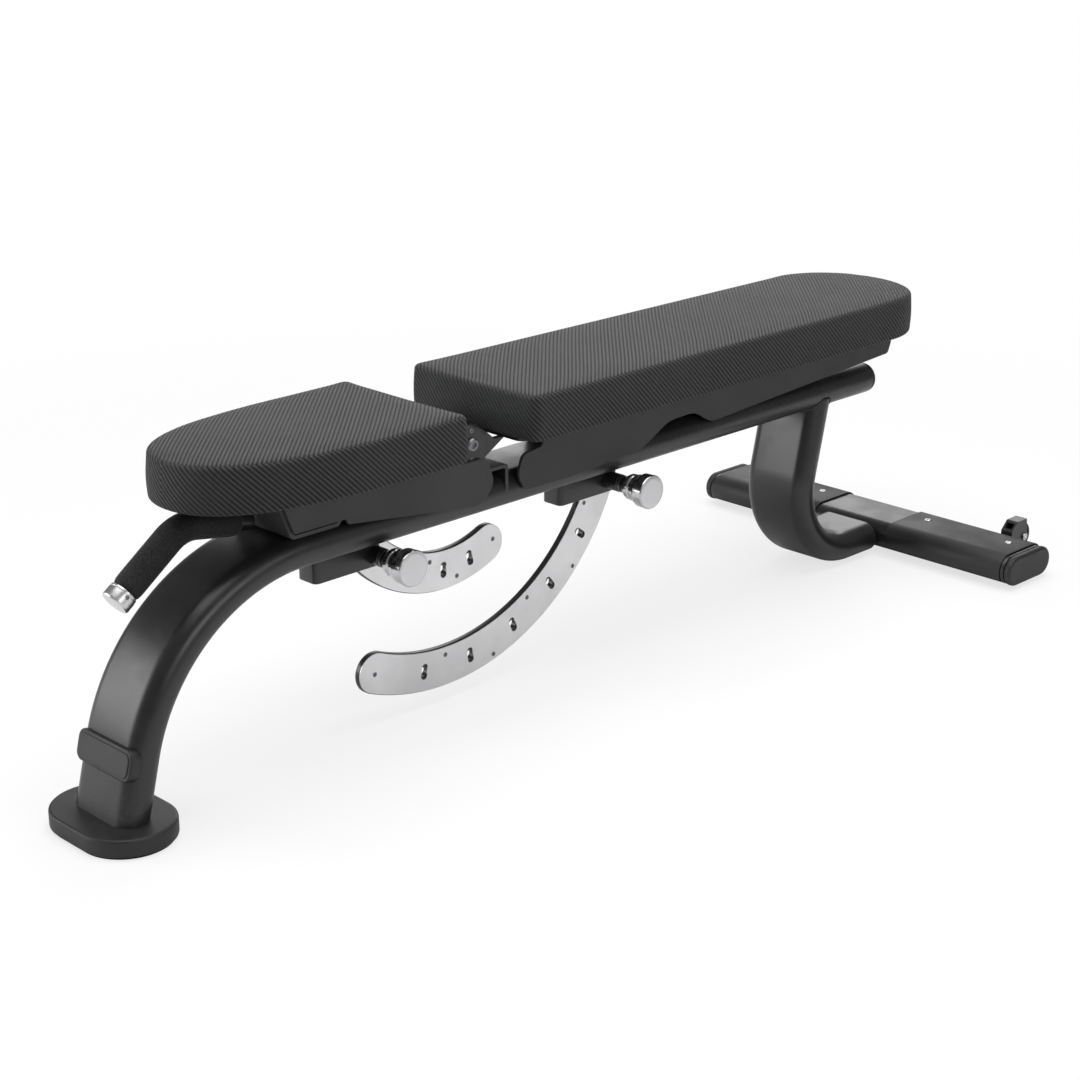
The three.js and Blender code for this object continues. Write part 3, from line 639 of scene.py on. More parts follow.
@dataclass(frozen=True)
class Finish:
    """Base of every finish: a material with its own graph."""

    label: str

    def start(self) -> tuple[bpy.types.Material, Tree, bpy.types.Node, bpy.types.NodeSocket]:
        """Make an empty material.

        Returns:
            The material, its tree, its shader and the object coordinates.
        """
        material = bpy.data.materials.new(self.label)
        material.use_nodes = True
        tree = Tree(material.node_tree)
        tree.tree.nodes.clear()
        shader = tree.add("ShaderNodeBsdfPrincipled")
        output = tree.add("ShaderNodeOutputMaterial")
        tree.tree.links.new(shader.outputs[0], output.inputs[0])
        place = tree.add("ShaderNodeTexCoord").outputs["Object"]
        return material, tree, shader, place

    def build(self) -> bpy.types.Material:
        """Return the finished material."""
        raise NotImplementedError


def use_group(tree: Tree, group: bpy.types.NodeTree, inputs: dict) -> bpy.types.Node:
    """Place a shared group in a material with its own values."""
    node = tree.add("ShaderNodeGroup", node_tree=group)
    for key, value in inputs.items():
        if isinstance(value, bpy.types.NodeSocket):
            tree.tree.links.new(value, node.inputs[key])
        else:
            node.inputs[key].default_value = value
    return node


@dataclass(frozen=True)
class Coated(Finish):
    """Powder coat or moulded plastic: grained, slightly uneven gloss, dusted, rubbed on its edges."""

    dark: float = 0.013
    light: float = 0.017
    gloss: float = 0.33
    grain: float = 950.0
    bump: float = 0.10
    dust: float = 0.012
    wear: float = 0.22
    specular: float = 0.5
    coat: float = 0.0

    def build(self) -> bpy.types.Material:
        """Return the coated material."""
        material, tree, shader, place = self.start()
        grain = use_group(
            tree, GROUPS.grain, {"Vector": place, "Grain Scale": self.grain, "Tone Scale": 11.0},
        )
        dust = use_group(tree, GROUPS.dust, {"Vector": place, "Amount": self.dust}).outputs[0]
        wear = use_group(tree, GROUPS.wear, {"Vector": place, "Amount": self.wear}).outputs[0]
        paint = tree.mix(grain.outputs["Tone"], grey(self.dark), grey(self.light, 0.02))
        dusted = tree.mix(dust, paint, (0.30, 0.29, 0.27, 1.0))
        tree.tree.links.new(tree.mix(wear, dusted, grey(0.32)), shader.inputs["Base Color"])
        rough = tree.ramp(grain.outputs["Tone"], 0.0, 1.0, self.gloss - 0.04, self.gloss + 0.05)
        rough = tree.maths("ADD", rough, tree.maths("MULTIPLY", dust, 1.2), clamp=True)
        tree.tree.links.new(rough, shader.inputs["Roughness"])
        tree.tree.links.new(tree.maths("MULTIPLY", wear, 0.8), shader.inputs["Metallic"])
        bump = tree.add(
            "ShaderNodeBump", {"Strength": self.bump, "Distance": 0.0004, "Height": grain.outputs["Height"]},
        )
        tree.tree.links.new(bump.outputs[0], shader.inputs["Normal"])
        shader.inputs["Specular IOR Level"].default_value = self.specular
        shader.inputs["Coat Weight"].default_value = self.coat
        shader.inputs["Coat Roughness"].default_value = 0.25
        return material


@dataclass(frozen=True)
class Metal(Finish):
    """Bare metal with brushed or turned lines and soft smudges."""

    colour: Colour = (0.72, 0.72, 0.73, 1.0)
    smudge: Colour = (0.62, 0.62, 0.63, 1.0)
    rough: float = 0.28
    spread: float = 0.10
    lines: float = 0.05
    fineness: float = 1.0
    metallic: float = 1.0

    def build(self) -> bpy.types.Material:
        """Return the metal."""
        material, tree, shader, place = self.start()
        brushed = use_group(tree, GROUPS.brushed, {"Vector": place, "Fineness": self.fineness})
        grain = use_group(tree, GROUPS.grain, {"Vector": place, "Grain Scale": 300.0, "Tone Scale": 6.0})
        tone = tree.mix(brushed.outputs["Tone"], self.colour, self.smudge)
        lined = tree.mix(tree.maths("MULTIPLY", brushed.outputs["Height"], 0.12), tone, grey(0.5))
        tree.tree.links.new(lined, shader.inputs["Base Color"])
        rough = tree.ramp(
            grain.outputs["Tone"], 0.0, 1.0, self.rough - self.spread / 2, self.rough + self.spread / 2,
        )
        tree.tree.links.new(rough, shader.inputs["Roughness"])
        shader.inputs["Metallic"].default_value = self.metallic
        bump = tree.add(
            "ShaderNodeBump",
            {"Strength": self.lines, "Distance": 0.0002, "Height": brushed.outputs["Height"]},
        )
        tree.tree.links.new(bump.outputs[0], shader.inputs["Normal"])
        return material


@dataclass(frozen=True)
class Elastic(Finish):
    """Rubber or foam: matt, deeply grained, a little sheen."""

    dark: float = 0.010
    light: float = 0.022
    grain: float = 420.0
    bump: float = 0.5
    rough: float = 0.85
    sheen: float = 0.12
    dust: float = 0.12

    def build(self) -> bpy.types.Material:
        """Return the rubber or foam."""
        material, tree, shader, place = self.start()
        grain = use_group(
            tree, GROUPS.grain, {"Vector": place, "Grain Scale": self.grain, "Tone Scale": 18.0},
        )
        dust = use_group(tree, GROUPS.dust, {"Vector": place, "Amount": self.dust}).outputs[0]
        speck = tree.ramp(grain.outputs["Height"], 0.35, 0.65)
        body = tree.mix(speck, grey(self.dark), grey(self.light))
        tree.tree.links.new(tree.mix(dust, body, (0.26, 0.25, 0.24, 1.0)), shader.inputs["Base Color"])
        rough = tree.ramp(grain.outputs["Tone"], 0.0, 1.0, self.rough - 0.06, min(1.0, self.rough + 0.06))
        tree.tree.links.new(rough, shader.inputs["Roughness"])
        bump = tree.add(
            "ShaderNodeBump", {"Strength": self.bump, "Distance": 0.0008, "Height": grain.outputs["Height"]},
        )
        tree.tree.links.new(bump.outputs[0], shader.inputs["Normal"])
        shader.inputs["Sheen Weight"].default_value = self.sheen
        shader.inputs["Sheen Roughness"].default_value = 0.4
        shader.inputs["Specular IOR Level"].default_value = 0.35
        return material


@dataclass(frozen=True)
class Upholstery(Finish):
    """Ribbed black leatherette read from the pad's own rib map, with painted shade: the grooves between ribs
    are coloured much darker than the crests.
    """

    groove_painted_shade: float = 0.0015
    crest: float = 0.050
    rough: float = 0.60
    bump: float = 1.0

    def build(self) -> bpy.types.Material:
        """Return the upholstery."""
        material, tree, shader, place = self.start()
        ribs_map = tree.add("ShaderNodeUVMap", uv_map="ribs").outputs[0]
        ribs = use_group(tree, GROUPS.ribs, {"Vector": ribs_map, "Dents per mm": 0.42, "Dent Depth": 0.16})
        grain = use_group(tree, GROUPS.grain, {"Vector": place, "Grain Scale": 1500.0, "Tone Scale": 7.0})
        dust = use_group(tree, GROUPS.dust, {"Vector": place, "Amount": 0.01}).outputs[0]
        # Painted shade: the grooves between ribs get a far darker colour than the crests, standing in for the
        # shade that falls in them.
        rib = tree.mix(tree.maths("POWER", ribs.outputs["Tone"], 1.6), grey(self.groove_painted_shade), grey(self.crest))
        worn = tree.mix(tree.maths("MULTIPLY", grain.outputs["Tone"], 0.25), rib, grey(self.crest * 1.2))
        tree.tree.links.new(tree.mix(dust, worn, (0.28, 0.27, 0.26, 1.0)), shader.inputs["Base Color"])
        rough = tree.ramp(ribs.outputs["Tone"], 0.0, 1.0, self.rough + 0.12, self.rough)
        tree.tree.links.new(rough, shader.inputs["Roughness"])
        leather = tree.add(
            "ShaderNodeBump", {"Strength": 0.12, "Distance": 0.0003, "Height": grain.outputs["Height"]},
        )
        bump = tree.add(
            "ShaderNodeBump",
            {
                "Strength": self.bump, "Distance": 0.0020, "Height": ribs.outputs["Height"],
                "Normal": leather.outputs[0],
            },
        )
        tree.tree.links.new(bump.outputs[0], shader.inputs["Normal"])
        shader.inputs["Sheen Weight"].default_value = 0.08
        shader.inputs["Sheen Roughness"].default_value = 0.45
        shader.inputs["Specular IOR Level"].default_value = 0.22
        return material


@dataclass(frozen=True)
class Ground(Finish):
    """Plain pale studio floor."""

    bounce: float = 0.42
    near: float = 0.9
    far: float = 2.4
    lift: float = 0.72

    def build(self) -> bpy.types.Material:
        """Return the floor's material, which fades to plain white away from the bench."""
        material, tree, shader, place = self.start()
        cloud = tree.noise(place, 0.7, 2.0)
        path = tree.add("ShaderNodeLightPath")
        seen = path.outputs["Is Camera Ray"]
        pale = tree.mix(cloud, grey(0.93), grey(0.95))
        mirrored = path.outputs["Is Glossy Ray"]
        bright = tree.maths("MAXIMUM", seen, mirrored)
        tree.tree.links.new(tree.mix(bright, grey(self.bounce), pale), shader.inputs["Base Color"])
        shader.inputs["Roughness"].default_value = 0.9
        shader.inputs["Specular IOR Level"].default_value = 0.1
        reach = tree.add("ShaderNodeVectorMath", {0: place}, operation="LENGTH").outputs["Value"]
        fade = tree.maths("MULTIPLY", tree.ramp(reach, self.near, self.far, self.lift, 1.0), seen)
        white = tree.add("ShaderNodeEmission", {0: (1, 1, 1, 1), 1: 1.0})
        both = tree.add("ShaderNodeMixShader", {0: fade, 1: shader.outputs[0], 2: white.outputs[0]})
        output = next(n for n in tree.tree.nodes if n.type == "OUTPUT_MATERIAL")
        tree.tree.links.new(both.outputs[0], output.inputs[0])
        return material


class Palette:
    """Every finish of the bench, built once, by the record's material slot."""

    def __init__(self) -> None:
        """Build the materials."""
        self.slots: dict[str, bpy.types.Material] = {
            "powder_coat": Coated("powder_coat_black").build(),
            "plate_coat": Coated(
                "plate_coat_grey", dark=0.026, light=0.032, gloss=0.58, grain=1300.0, bump=0.08, wear=0.2,
                dust=0.01,
            ).build(),
            "black_plastic": Coated(
                "moulded_plastic", dark=0.010, light=0.013, gloss=0.52, grain=1500.0, bump=0.16, wear=0.0,
                dust=0.015,
            ).build(),
            "rubber": Elastic("black_rubber").build(),
            "grip_foam": Elastic(
                "grip_foam", grain=650.0, bump=0.9, sheen=0.1, dark=0.004, light=0.022, dust=0.01,
            ).build(),
            "stainless": Metal("satin_stainless", rough=0.36, spread=0.05, lines=0.03).build(),
            "dull_steel": Metal(
                "dull_steel", colour=(0.20, 0.20, 0.21, 1.0), smudge=(0.15, 0.15, 0.16, 1.0), rough=0.40,
            ).build(),
            "bright_chrome": Metal(
                "turned_chrome", colour=(0.50, 0.50, 0.51, 1.0), smudge=(0.45, 0.45, 0.46, 1.0), rough=0.17,
                spread=0.04, lines=0.02,
            ).build(),
            "satin_chrome": Metal(
                "satin_chrome", colour=(0.60, 0.60, 0.61, 1.0), smudge=(0.56, 0.56, 0.57, 1.0), rough=0.34,
                spread=0.06, lines=0.05,
            ).build(),
            "bronze": Metal(
                "sintered_bronze", colour=(0.50, 0.33, 0.15, 1.0), smudge=(0.40, 0.26, 0.12, 1.0), rough=0.42,
            ).build(),
            "upholstery": Upholstery("ribbed_leatherette").build(),
        }

    def dress(self, piece: bpy.types.Object, slot: str, look: str | None = None) -> bpy.types.Object:
        """Give a piece its finish.

        Args:
            piece: The object.
            slot: The record's material slot.
            look: A closer variant of the finish, if not the slot's own.

        Returns:
            The piece.
        """
        piece.data.materials.clear()
        piece.data.materials.append(self.slots[look or slot])
        return piece


@dataclass
class Assembly:
    """Base of every sub-assembly: keeps the palette and enters its pieces."""

    palette: Palette
    made: list[str] = field(default_factory=list)

    def enter(
        self, piece: bpy.types.Object, body: str, slot: str, nodes: Sequence[str] = (),
        look: str | None = None,
    ) -> bpy.types.Object:
        """Dress a new piece, let it ride on its body and hide the CAD nodes it stands for."""
        self.palette.dress(piece, slot, look)
        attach(piece, body)
        if nodes:
            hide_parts(*nodes)
        self.made.append(piece.name)
        LOG.info("%s rides on %s", piece.name, body)
        return piece


# ------------------------------------------------------------------------------------------
# Fixed frame
# ------------------------------------------------------------------------------------------
@dataclass
class Spine(Assembly):
    """Main tube from the front foot to the rear, with its foot, name plate and the weld where the rear post
    meets the beam.
    """

    width: float = 120.0
    thick: float = 48.0
    wall: float = 3.0
    foot: tuple[float, float] = (63.3, 26.0)
    lean: float = 14.3
    bend: float = 269.0
    beam_z: float = BEAM_Z
    beam_end: float = 1507.0
    slot_width: float = 14.0
    slots: tuple[tuple[float, float], ...] = ((398.2, 518.2), (853.7, 997.7))

    def leg_x(self, z: float) -> float:
        """Middle of the leaning leg at a height."""
        return self.foot[0] + (z - self.foot[1]) * math.tan(math.radians(self.lean))

    def section(self, shrink: float = 0.0) -> Array:
        """Flat oval section, made smaller all round by shrink."""
        return stadium(self.width - 2 * shrink, self.thick - 2 * shrink)

    def path(self, z: float = 17.0) -> Array:
        """Run from inside the foot's cover, up the leg and along the beam."""
        return bent_run(
            (self.leg_x(z), z), (self.leg_x(self.beam_z), self.beam_z), (self.beam_end, self.beam_z),
            self.bend,
        )

    def tube(self) -> None:
        """Main tube, with the slots that the two arcs run through."""
        tube = hollow_sweep("main_tube_skin", self.path(), self.section(), self.section(self.wall))
        cutters = []
        half = self.slot_width / 2
        for i, (x0, x1) in enumerate(self.slots):
            outline = rounded([(x0, -half, 3), (x1, -half, 3), (x1, half, 3), (x0, half, 3)])
            cutters.append(slab(f"slot_{i}", outline, self.beam_z - 40, self.beam_z + 40, 0.2, Axis.Z))
        self.enter(carve(tube, cutters), "frame", "powder_coat", ["main_tube"])
        section = stadium(self.width - 1, self.thick - 1, (0, self.beam_z))
        cap = slab("beam_end_plug", section, self.beam_end + 0.3, self.beam_end + 8, 3.5, Axis.X)
        self.enter(cap, "frame", "black_plastic", ["beam_end_cap"])

    def front_foot(self) -> None:
        """Moulded cover with rolled edges round the leg's foot, and its rubber pad."""
        outline = stadium(182.6, 127.0, count=40)[:, ::-1] + (63.5, 0)
        cover = slab("foot_cover", outline, 2.7, 26.4, 3.6, Axis.Z)
        self.enter(cover, "frame", "black_plastic", ["front_foot_cover", "front_foot_plate"])
        pad = slab("foot_rubber", inset(outline, 4.0), 0.0, 2.4, 0.4, Axis.Z)
        self.enter(pad, "frame", "rubber", ["front_foot_pad"])

    def badge(self) -> None:
        """Blank name plate in two steps, wrapped over the leg's rounding."""
        slope = math.radians(self.lean)
        up = np.array([math.sin(slope), 0, math.cos(slope)])
        out = np.array([-math.cos(slope), 0, math.sin(slope)])
        origin = np.array([self.foot[0], 0.0, self.foot[1]])

        def stand(grid: Array) -> Array:
            """Turn (along, y, depth) into the leg's leaning plane."""
            along, y, depth = grid[..., 0:1], grid[..., 1:2], grid[..., 2:3]
            return origin + along * up + y * np.array([0, 1.0, 0]) + depth * out

        outer = rounded([(54, -60, 12), (95, -60, 12), (95, 53, 12), (54, 53, 12)], steps=12)
        inner = rounded([(59, -55, 9), (90, -55, 9), (90, 48, 9), (59, 48, 9)], steps=12)
        plate = Shell().grid(stand(carried(outer, 14.5, 29.3, 2.4, Axis.Z))).make("name_plate")
        self.enter(plate, "frame", "black_plastic", ["badge_plate"])
        face = Shell().grid(stand(carried(inner, 28.0, 30.7, 0.9, Axis.Z))).make("name_plate_face")
        self.enter(face, "frame", "plate_coat")

    def welds(self) -> None:
        """Rippled weld beads where the rear post meets the beam."""
        section = Stand(self.palette).section(-0.4)
        side = np.maximum(np.abs(section[:, 0]) - 36.0, 0.0)
        round_side = np.sqrt(np.maximum(24.0 ** 2 - side ** 2, 0.0))
        z = np.minimum(self.beam_z - round_side - 0.6, POST_TOP[1])
        slope = math.radians(POST_LEAN)
        x = POST_TOP[0] - (POST_TOP[1] - z) * math.tan(slope) - section[:, 1] / math.cos(slope)
        loop = np.stack([x, section[:, 0], z], -1)
        self.enter(weld_bead("post_weld", loop, 1.5), "frame", "powder_coat")

    def build(self) -> None:
        """Make every piece."""
        self.tube()
        self.front_foot()
        self.badge()
        self.welds()


def weld_bead(name: str, loop: Array, radius: float, ripple: float = 3.2) -> bpy.types.Object:
    """Closed bead along a loop of points.

    The bead's radius is radius * (1 + 0.16 sin(2 pi s / ripple)), s being the way along the loop.

    Args:
        name: The piece's name.
        loop: Closed loop of points (n, 3) in bench millimetres.
        radius: Mean radius in mm.
        ripple: Length of one weld ripple in mm.

    Returns:
        The bead.
    """
    closed = np.concatenate([loop, loop[:1]])
    reach = np.concatenate([[0], np.cumsum(np.linalg.norm(np.diff(closed, axis=0), axis=1))])
    count = int(reach[-1] / 0.9)
    s = np.linspace(0, reach[-1], count, endpoint=False)
    line = np.stack([np.interp(s, reach, closed[:, i]) for i in range(3)], -1)
    ahead = np.roll(line, -1, 0) - np.roll(line, 1, 0)
    ahead /= np.linalg.norm(ahead, axis=1, keepdims=True)
    up = np.broadcast_to([0.0, 0.0, 1.0], ahead.shape)
    side = np.cross(ahead, up)
    side /= np.maximum(np.linalg.norm(side, axis=1, keepdims=True), 1e-6)
    over = np.cross(side, ahead)
    r = radius * (1 + 0.16 * np.sin(2 * math.pi * s / (reach[-1] / round(reach[-1] / ripple))))
    p = np.linspace(0, 2 * math.pi, 10, endpoint=False)
    rows = line[:, None] + r[:, None, None] * (
        np.cos(p)[None, :, None] * side[:, None] + np.sin(p)[None, :, None] * over[:, None]
    )
    return Shell().grid(np.concatenate([rows, rows[:1]]), caps=False).make(name, crease=80)


@dataclass
class Stand(Assembly):
    """Rear post, crossbar, its covers and caps, feet and transport wheels."""

    bar: tuple[float, float] = (1600.0, 30.0)
    half: float = 306.0
    length: float = 116.0
    thick: float = 46.0
    bolts: tuple[float, float] = (110.6, 268.8)
    bend: float = 122.0

    def section(self, shrink: float = 0.0) -> Array:
        """Post's flat oval section."""
        return stadium(120.0 - 2 * shrink, 48.0 - 2 * shrink)

    def path(self) -> Array:
        """Run down the post, round its bend and back to the crossbar."""
        drop = POST_TOP[1] - POST_RUN_Z
        corner = (POST_TOP[0] - drop * math.tan(math.radians(POST_LEAN)), POST_RUN_Z)
        return bent_run(POST_TOP, corner, (self.bar[0] - 62.0, POST_RUN_Z), self.bend)

    def post(self) -> None:
        """Bent rear post."""
        post = Shell().grid(swept(self.path(), self.section())).make("post_skin")
        self.enter(post, "frame", "powder_coat", ["rear_post"])

    def crossbar(self) -> None:
        """Crossbar tube and its end caps."""
        outline = stadium(self.length, self.thick, self.bar)
        tube = slab("crossbar_tube", outline, -self.half, self.half, 0.4, Axis.Y)
        self.enter(tube, "frame", "powder_coat", ["rear_crossbar"])
        for side in Side:
            y0, y1 = side.span(self.half + 0.3, self.half + 13)
            cap = slab(
                f"crossbar_plug_{side.name.lower()}", stadium(self.length + 2, self.thick + 2, self.bar), y0,
                y1, 4.5, Axis.Y,
            )
            self.enter(cap, "frame", "black_plastic", [f"crossbar_cap_{side.name.lower()}"])

    def covers(self) -> None:
        """C-shaped covers over the bar, their countersunk screws and the rubber feet."""
        outer = self.wrap(2.6)
        inner = self.wrap(0.3)
        outline = np.concatenate([outer, inner[::-1]])
        for side in Side:
            name = side.name.lower()
            y0, y1 = side.span(75.0, 300.0)
            cover = slab(f"crossbar_wrap_{name}", outline, y0, y1, 0.9, Axis.Y)
            self.enter(cover, "frame", "black_plastic", [f"crossbar_cover_{name}"])
            for i, reach in enumerate(self.bolts):
                y = side.value * reach
                profile = [
                    (0, -3), (5.6, -3, 0), (5.6, 0.6, 0.5), (4.4, 1.5, 0.6), (2.6, 1.5, 0.3),
                    (2.3, -1.2, 0.3), (0, -1.2),
                ]
                screw = turned(f"cover_screw_{name}_{i}", profile, (1611.0, y, 55.5), (0, 0, 1), 32)
                self.enter(screw, "frame", "stainless")
            f0, f1 = side.span(197.0, 297.0)
            foot = rounded([(1585, f0, 8), (1640, f0, 8), (1640, f1, 8), (1585, f1, 8)])
            pad = slab(f"rubber_foot_{name}", foot, 0.0, 6.7, 1.0, Axis.Z)
            self.enter(pad, "frame", "rubber", [f"rear_foot_{name}"])

    def wrap(self, grow: float) -> Array:
        """Part of the bar's outline above the cover's hem, grown outwards."""
        whole = stadium(self.length + 2 * grow, self.thick + 2 * grow, self.bar, count=120)
        start = int(np.argmin(whole[:, 1]))
        whole = np.roll(whole, -start, 0)
        return whole[whole[:, 1] > 14.0]

    def wheels(self) -> None:
        """Transport wheels with rounded treads, and their axle bolts."""
        for side in Side:
            name = side.name.lower()
            y = side.value * 232.5
            tread = [
                (4.6, -6.5, 0.3), (9, -6.5, 0.5), (10, -5.2, 0.8), (17, -5.2, 1.0), (18.5, -6.5, 0.8),
                (22.5, -6.5, 2.4), (25, -2.5, 4), (25, 2.5, 4), (22.5, 6.5, 2.4), (18.5, 6.5, 0.8),
                (17, 5.2, 1.0), (10, 5.2, 0.8), (9, 6.5, 0.5), (4.6, 6.5, 0.3),
            ]
            wheel = ring_turned(f"rolling_wheel_{name}", tread, (1698, y, 38.5), (0, 1, 0), 72)
            self.enter(wheel, f"wheel_{name}", "rubber", [f"transport_wheel_{name}"])
            head = [
                (0, -13.6), (3.0, -13.6, 0.3), (3.0, -12.0), (3.2, -12.0), (3.4, -13.6, 0.4),
                (6.0, -13.6, 0.9), (6.5, -10.8, 0.3), (4, -10.8), (4, 10.8), (6.5, 10.8, 0.3),
                (6.0, 13.6, 0.9), (0, 13.6),
            ]
            axle = turned(f"wheel_bolt_{name}", head, (1698, y, 38.5), (0, 1, 0), 40)
            self.enter(axle, "frame", "bright_chrome", [f"wheel_axle_{name}"])

    def build(self) -> None:
        """Make every piece."""
        self.post()
        self.crossbar()
        self.covers()
        self.wheels()


@dataclass
class PinStation(Assembly):
    """Guide block under the beam, its sprung pull pin and housing."""

    title: str = "seat"
    hole: float = 190.0
    angle: float = -46.5
    block: tuple[float, float] = (378.0, 489.0)
    longer: float = 0.0

    def build(self) -> None:
        """Make the block, the housing and the pull pin."""
        x, z = on_arc(self.hole, self.angle, AXLE)
        x0, x1 = self.block
        body = slab(
            f"guide_block_{self.title}", rounded([(x0, -19, 8), (x1, -19, 3), (x1, 19, 3), (x0, 19, 8)]),
            243.0, 283.3, 1.4, Axis.Z,
        )
        slot = slab(
            "slot_tool", rounded([(x0 + 6, -7, 2), (x1 + 8, -7, 2), (x1 + 8, 7, 2), (x0 + 6, 7, 2)]), 238,
            290, 0.2, Axis.Z,
        )
        self.enter(carve(body, [slot]), "frame", "powder_coat", [f"pin_block_{self.title}"])
        loop = np.array(
            [[x0 + 1, -19.6, 283.0], [x1 - 1, -19.6, 283.0], [x1 - 1, 19.6, 283.0], [x0 + 1, 19.6, 283.0]]
        )
        self.enter(weld_bead(f"block_weld_{self.title}", loop, 2.0), "frame", "powder_coat")
        away = (0, -1, 0)
        e = self.longer
        sleeve = [
            (9.4, 19.3, 0.3), (13, 19.3, 0.8), (13, e + 35.5, 0.8), (11, e + 37.8, 0.8), (11, e + 46.7, 0.8),
            (9.4, e + 46.7, 0.3),
        ]
        self.enter(
            ring_turned(f"housing_{self.title}", sleeve, (x, 0, z), away), "frame", "powder_coat",
            [f"pin_housing_{self.title}"],
        )
        ferrule = [(11.1, e + 38.6, 0.2), (12.6, e + 38.6, 0.5), (12.6, e + 41.4, 0.5), (11.1, e + 41.4, 0.2)]
        self.enter(
            ring_turned(f"ferrule_{self.title}", ferrule, (x, 0, z), away), "frame", "bright_chrome",
            look="dull_steel",
        )
        n = e + 47.8
        knob = [
            (0, 7.5), (4, 7.5, 0.4), (5, 8.5, 0.4), (5, n), (11, n, 0.6), (12, n + 1.6, 0.6),
            (16.4, n + 3.2, 1.2), (19, n + 8.5, 2.2), (19, n + 13.6, 1.0), (17.2, n + 15.4, 0.7),
            (17.2, n + 17.6, 0.7), (20.6, n + 20.2, 1.4), (21.2, n + 26.5, 1.4), (24.6, n + 31.4, 1.6),
            (25, e + 93.6, 0.8), (24.0, e + 95.2, 0.7), (0, e + 95.6),
        ]
        pin = turned(f"pull_knob_{self.title}", knob, (x, 0, z), away, 96)
        self.enter(pin, f"{self.title}_pin", "bright_chrome", [f"pull_pin_{self.title}"])
        disc = [
            (0, e + 95.1), (22.6, e + 95.1, 0.2), (22.6, e + 95.5, 0.2), (19.0, e + 95.9, 2.0), (0, e + 96.0),
        ]
        self.enter(
            turned(f"knob_face_{self.title}", disc, (x, 0, z), away, 96), f"{self.title}_pin",
            "bright_chrome", look="satin_chrome",
        )


@dataclass
class Pivot(Assembly):
    """Channel on the beam, ears, axle and its screws."""

    centre: tuple[float, float] = AXLE

    def build(self) -> None:
        """Make every piece."""
        x, z = self.centre
        channel = rounded(
            [
                (550, 310), (550, 350, 8), (686, 350, 8), (686, 310), (680, 310), (680, 344, 3),
                (556, 344, 3), (556, 310),
            ]
        )
        self.enter(
            slab("pivot_channel", channel, -59.9, 59.9, 1.0, Axis.Y), "frame", "powder_coat",
            ["pivot_pedestal"],
        )
        ear = np.concatenate([turned_arc(self.centre, 25, 0, 180, 40), [(x - 25, 350.3), (x + 25, 350.3)]])
        for side in Side:
            name = side.name.lower()
            y0, y1 = side.span(52, 60)
            self.enter(
                slab(f"pivot_cheek_{name}", ear, y0, y1, 0.8, Axis.Y), "frame", "powder_coat",
                [f"pivot_ear_{name}"],
            )
            away = (0, side.value, 0)
            screw = [
                (0, 60.3), (9.5, 60.3, 0.2), (9.5, 62.6, 0.6), (7.6, 64.9, 1.0), (4.4, 64.9, 0.3),
                (3.8, 62.2, 0.3), (0, 62.2),
            ]
            self.enter(
                turned(f"axle_head_{name}", screw, (x, 0, z), away), "frame", "stainless",
                [f"axle_screw_{name}"], look="dull_steel",
            )
            for i, dz in enumerate((-21.0, 19.5)):
                grub = [(0, 58.0), (3.4, 58.0), (3.4, 60.6, 0.5), (1.6, 60.6, 0.2), (1.3, 59.2), (0, 59.2)]
                self.enter(
                    turned(f"cheek_screw_{name}_{i}", grub, (x, 0, z + dz), away, 24), "frame", "stainless",
                    look="dull_steel",
                )
        axle = [(0, -59.9), (8, -59.9, 0.6), (8, 59.9, 0.6), (0, 59.9)]
        self.enter(turned("axle_bar", axle, (x, 0, z), (0, 1, 0)), "frame", "stainless", ["pivot_axle"])


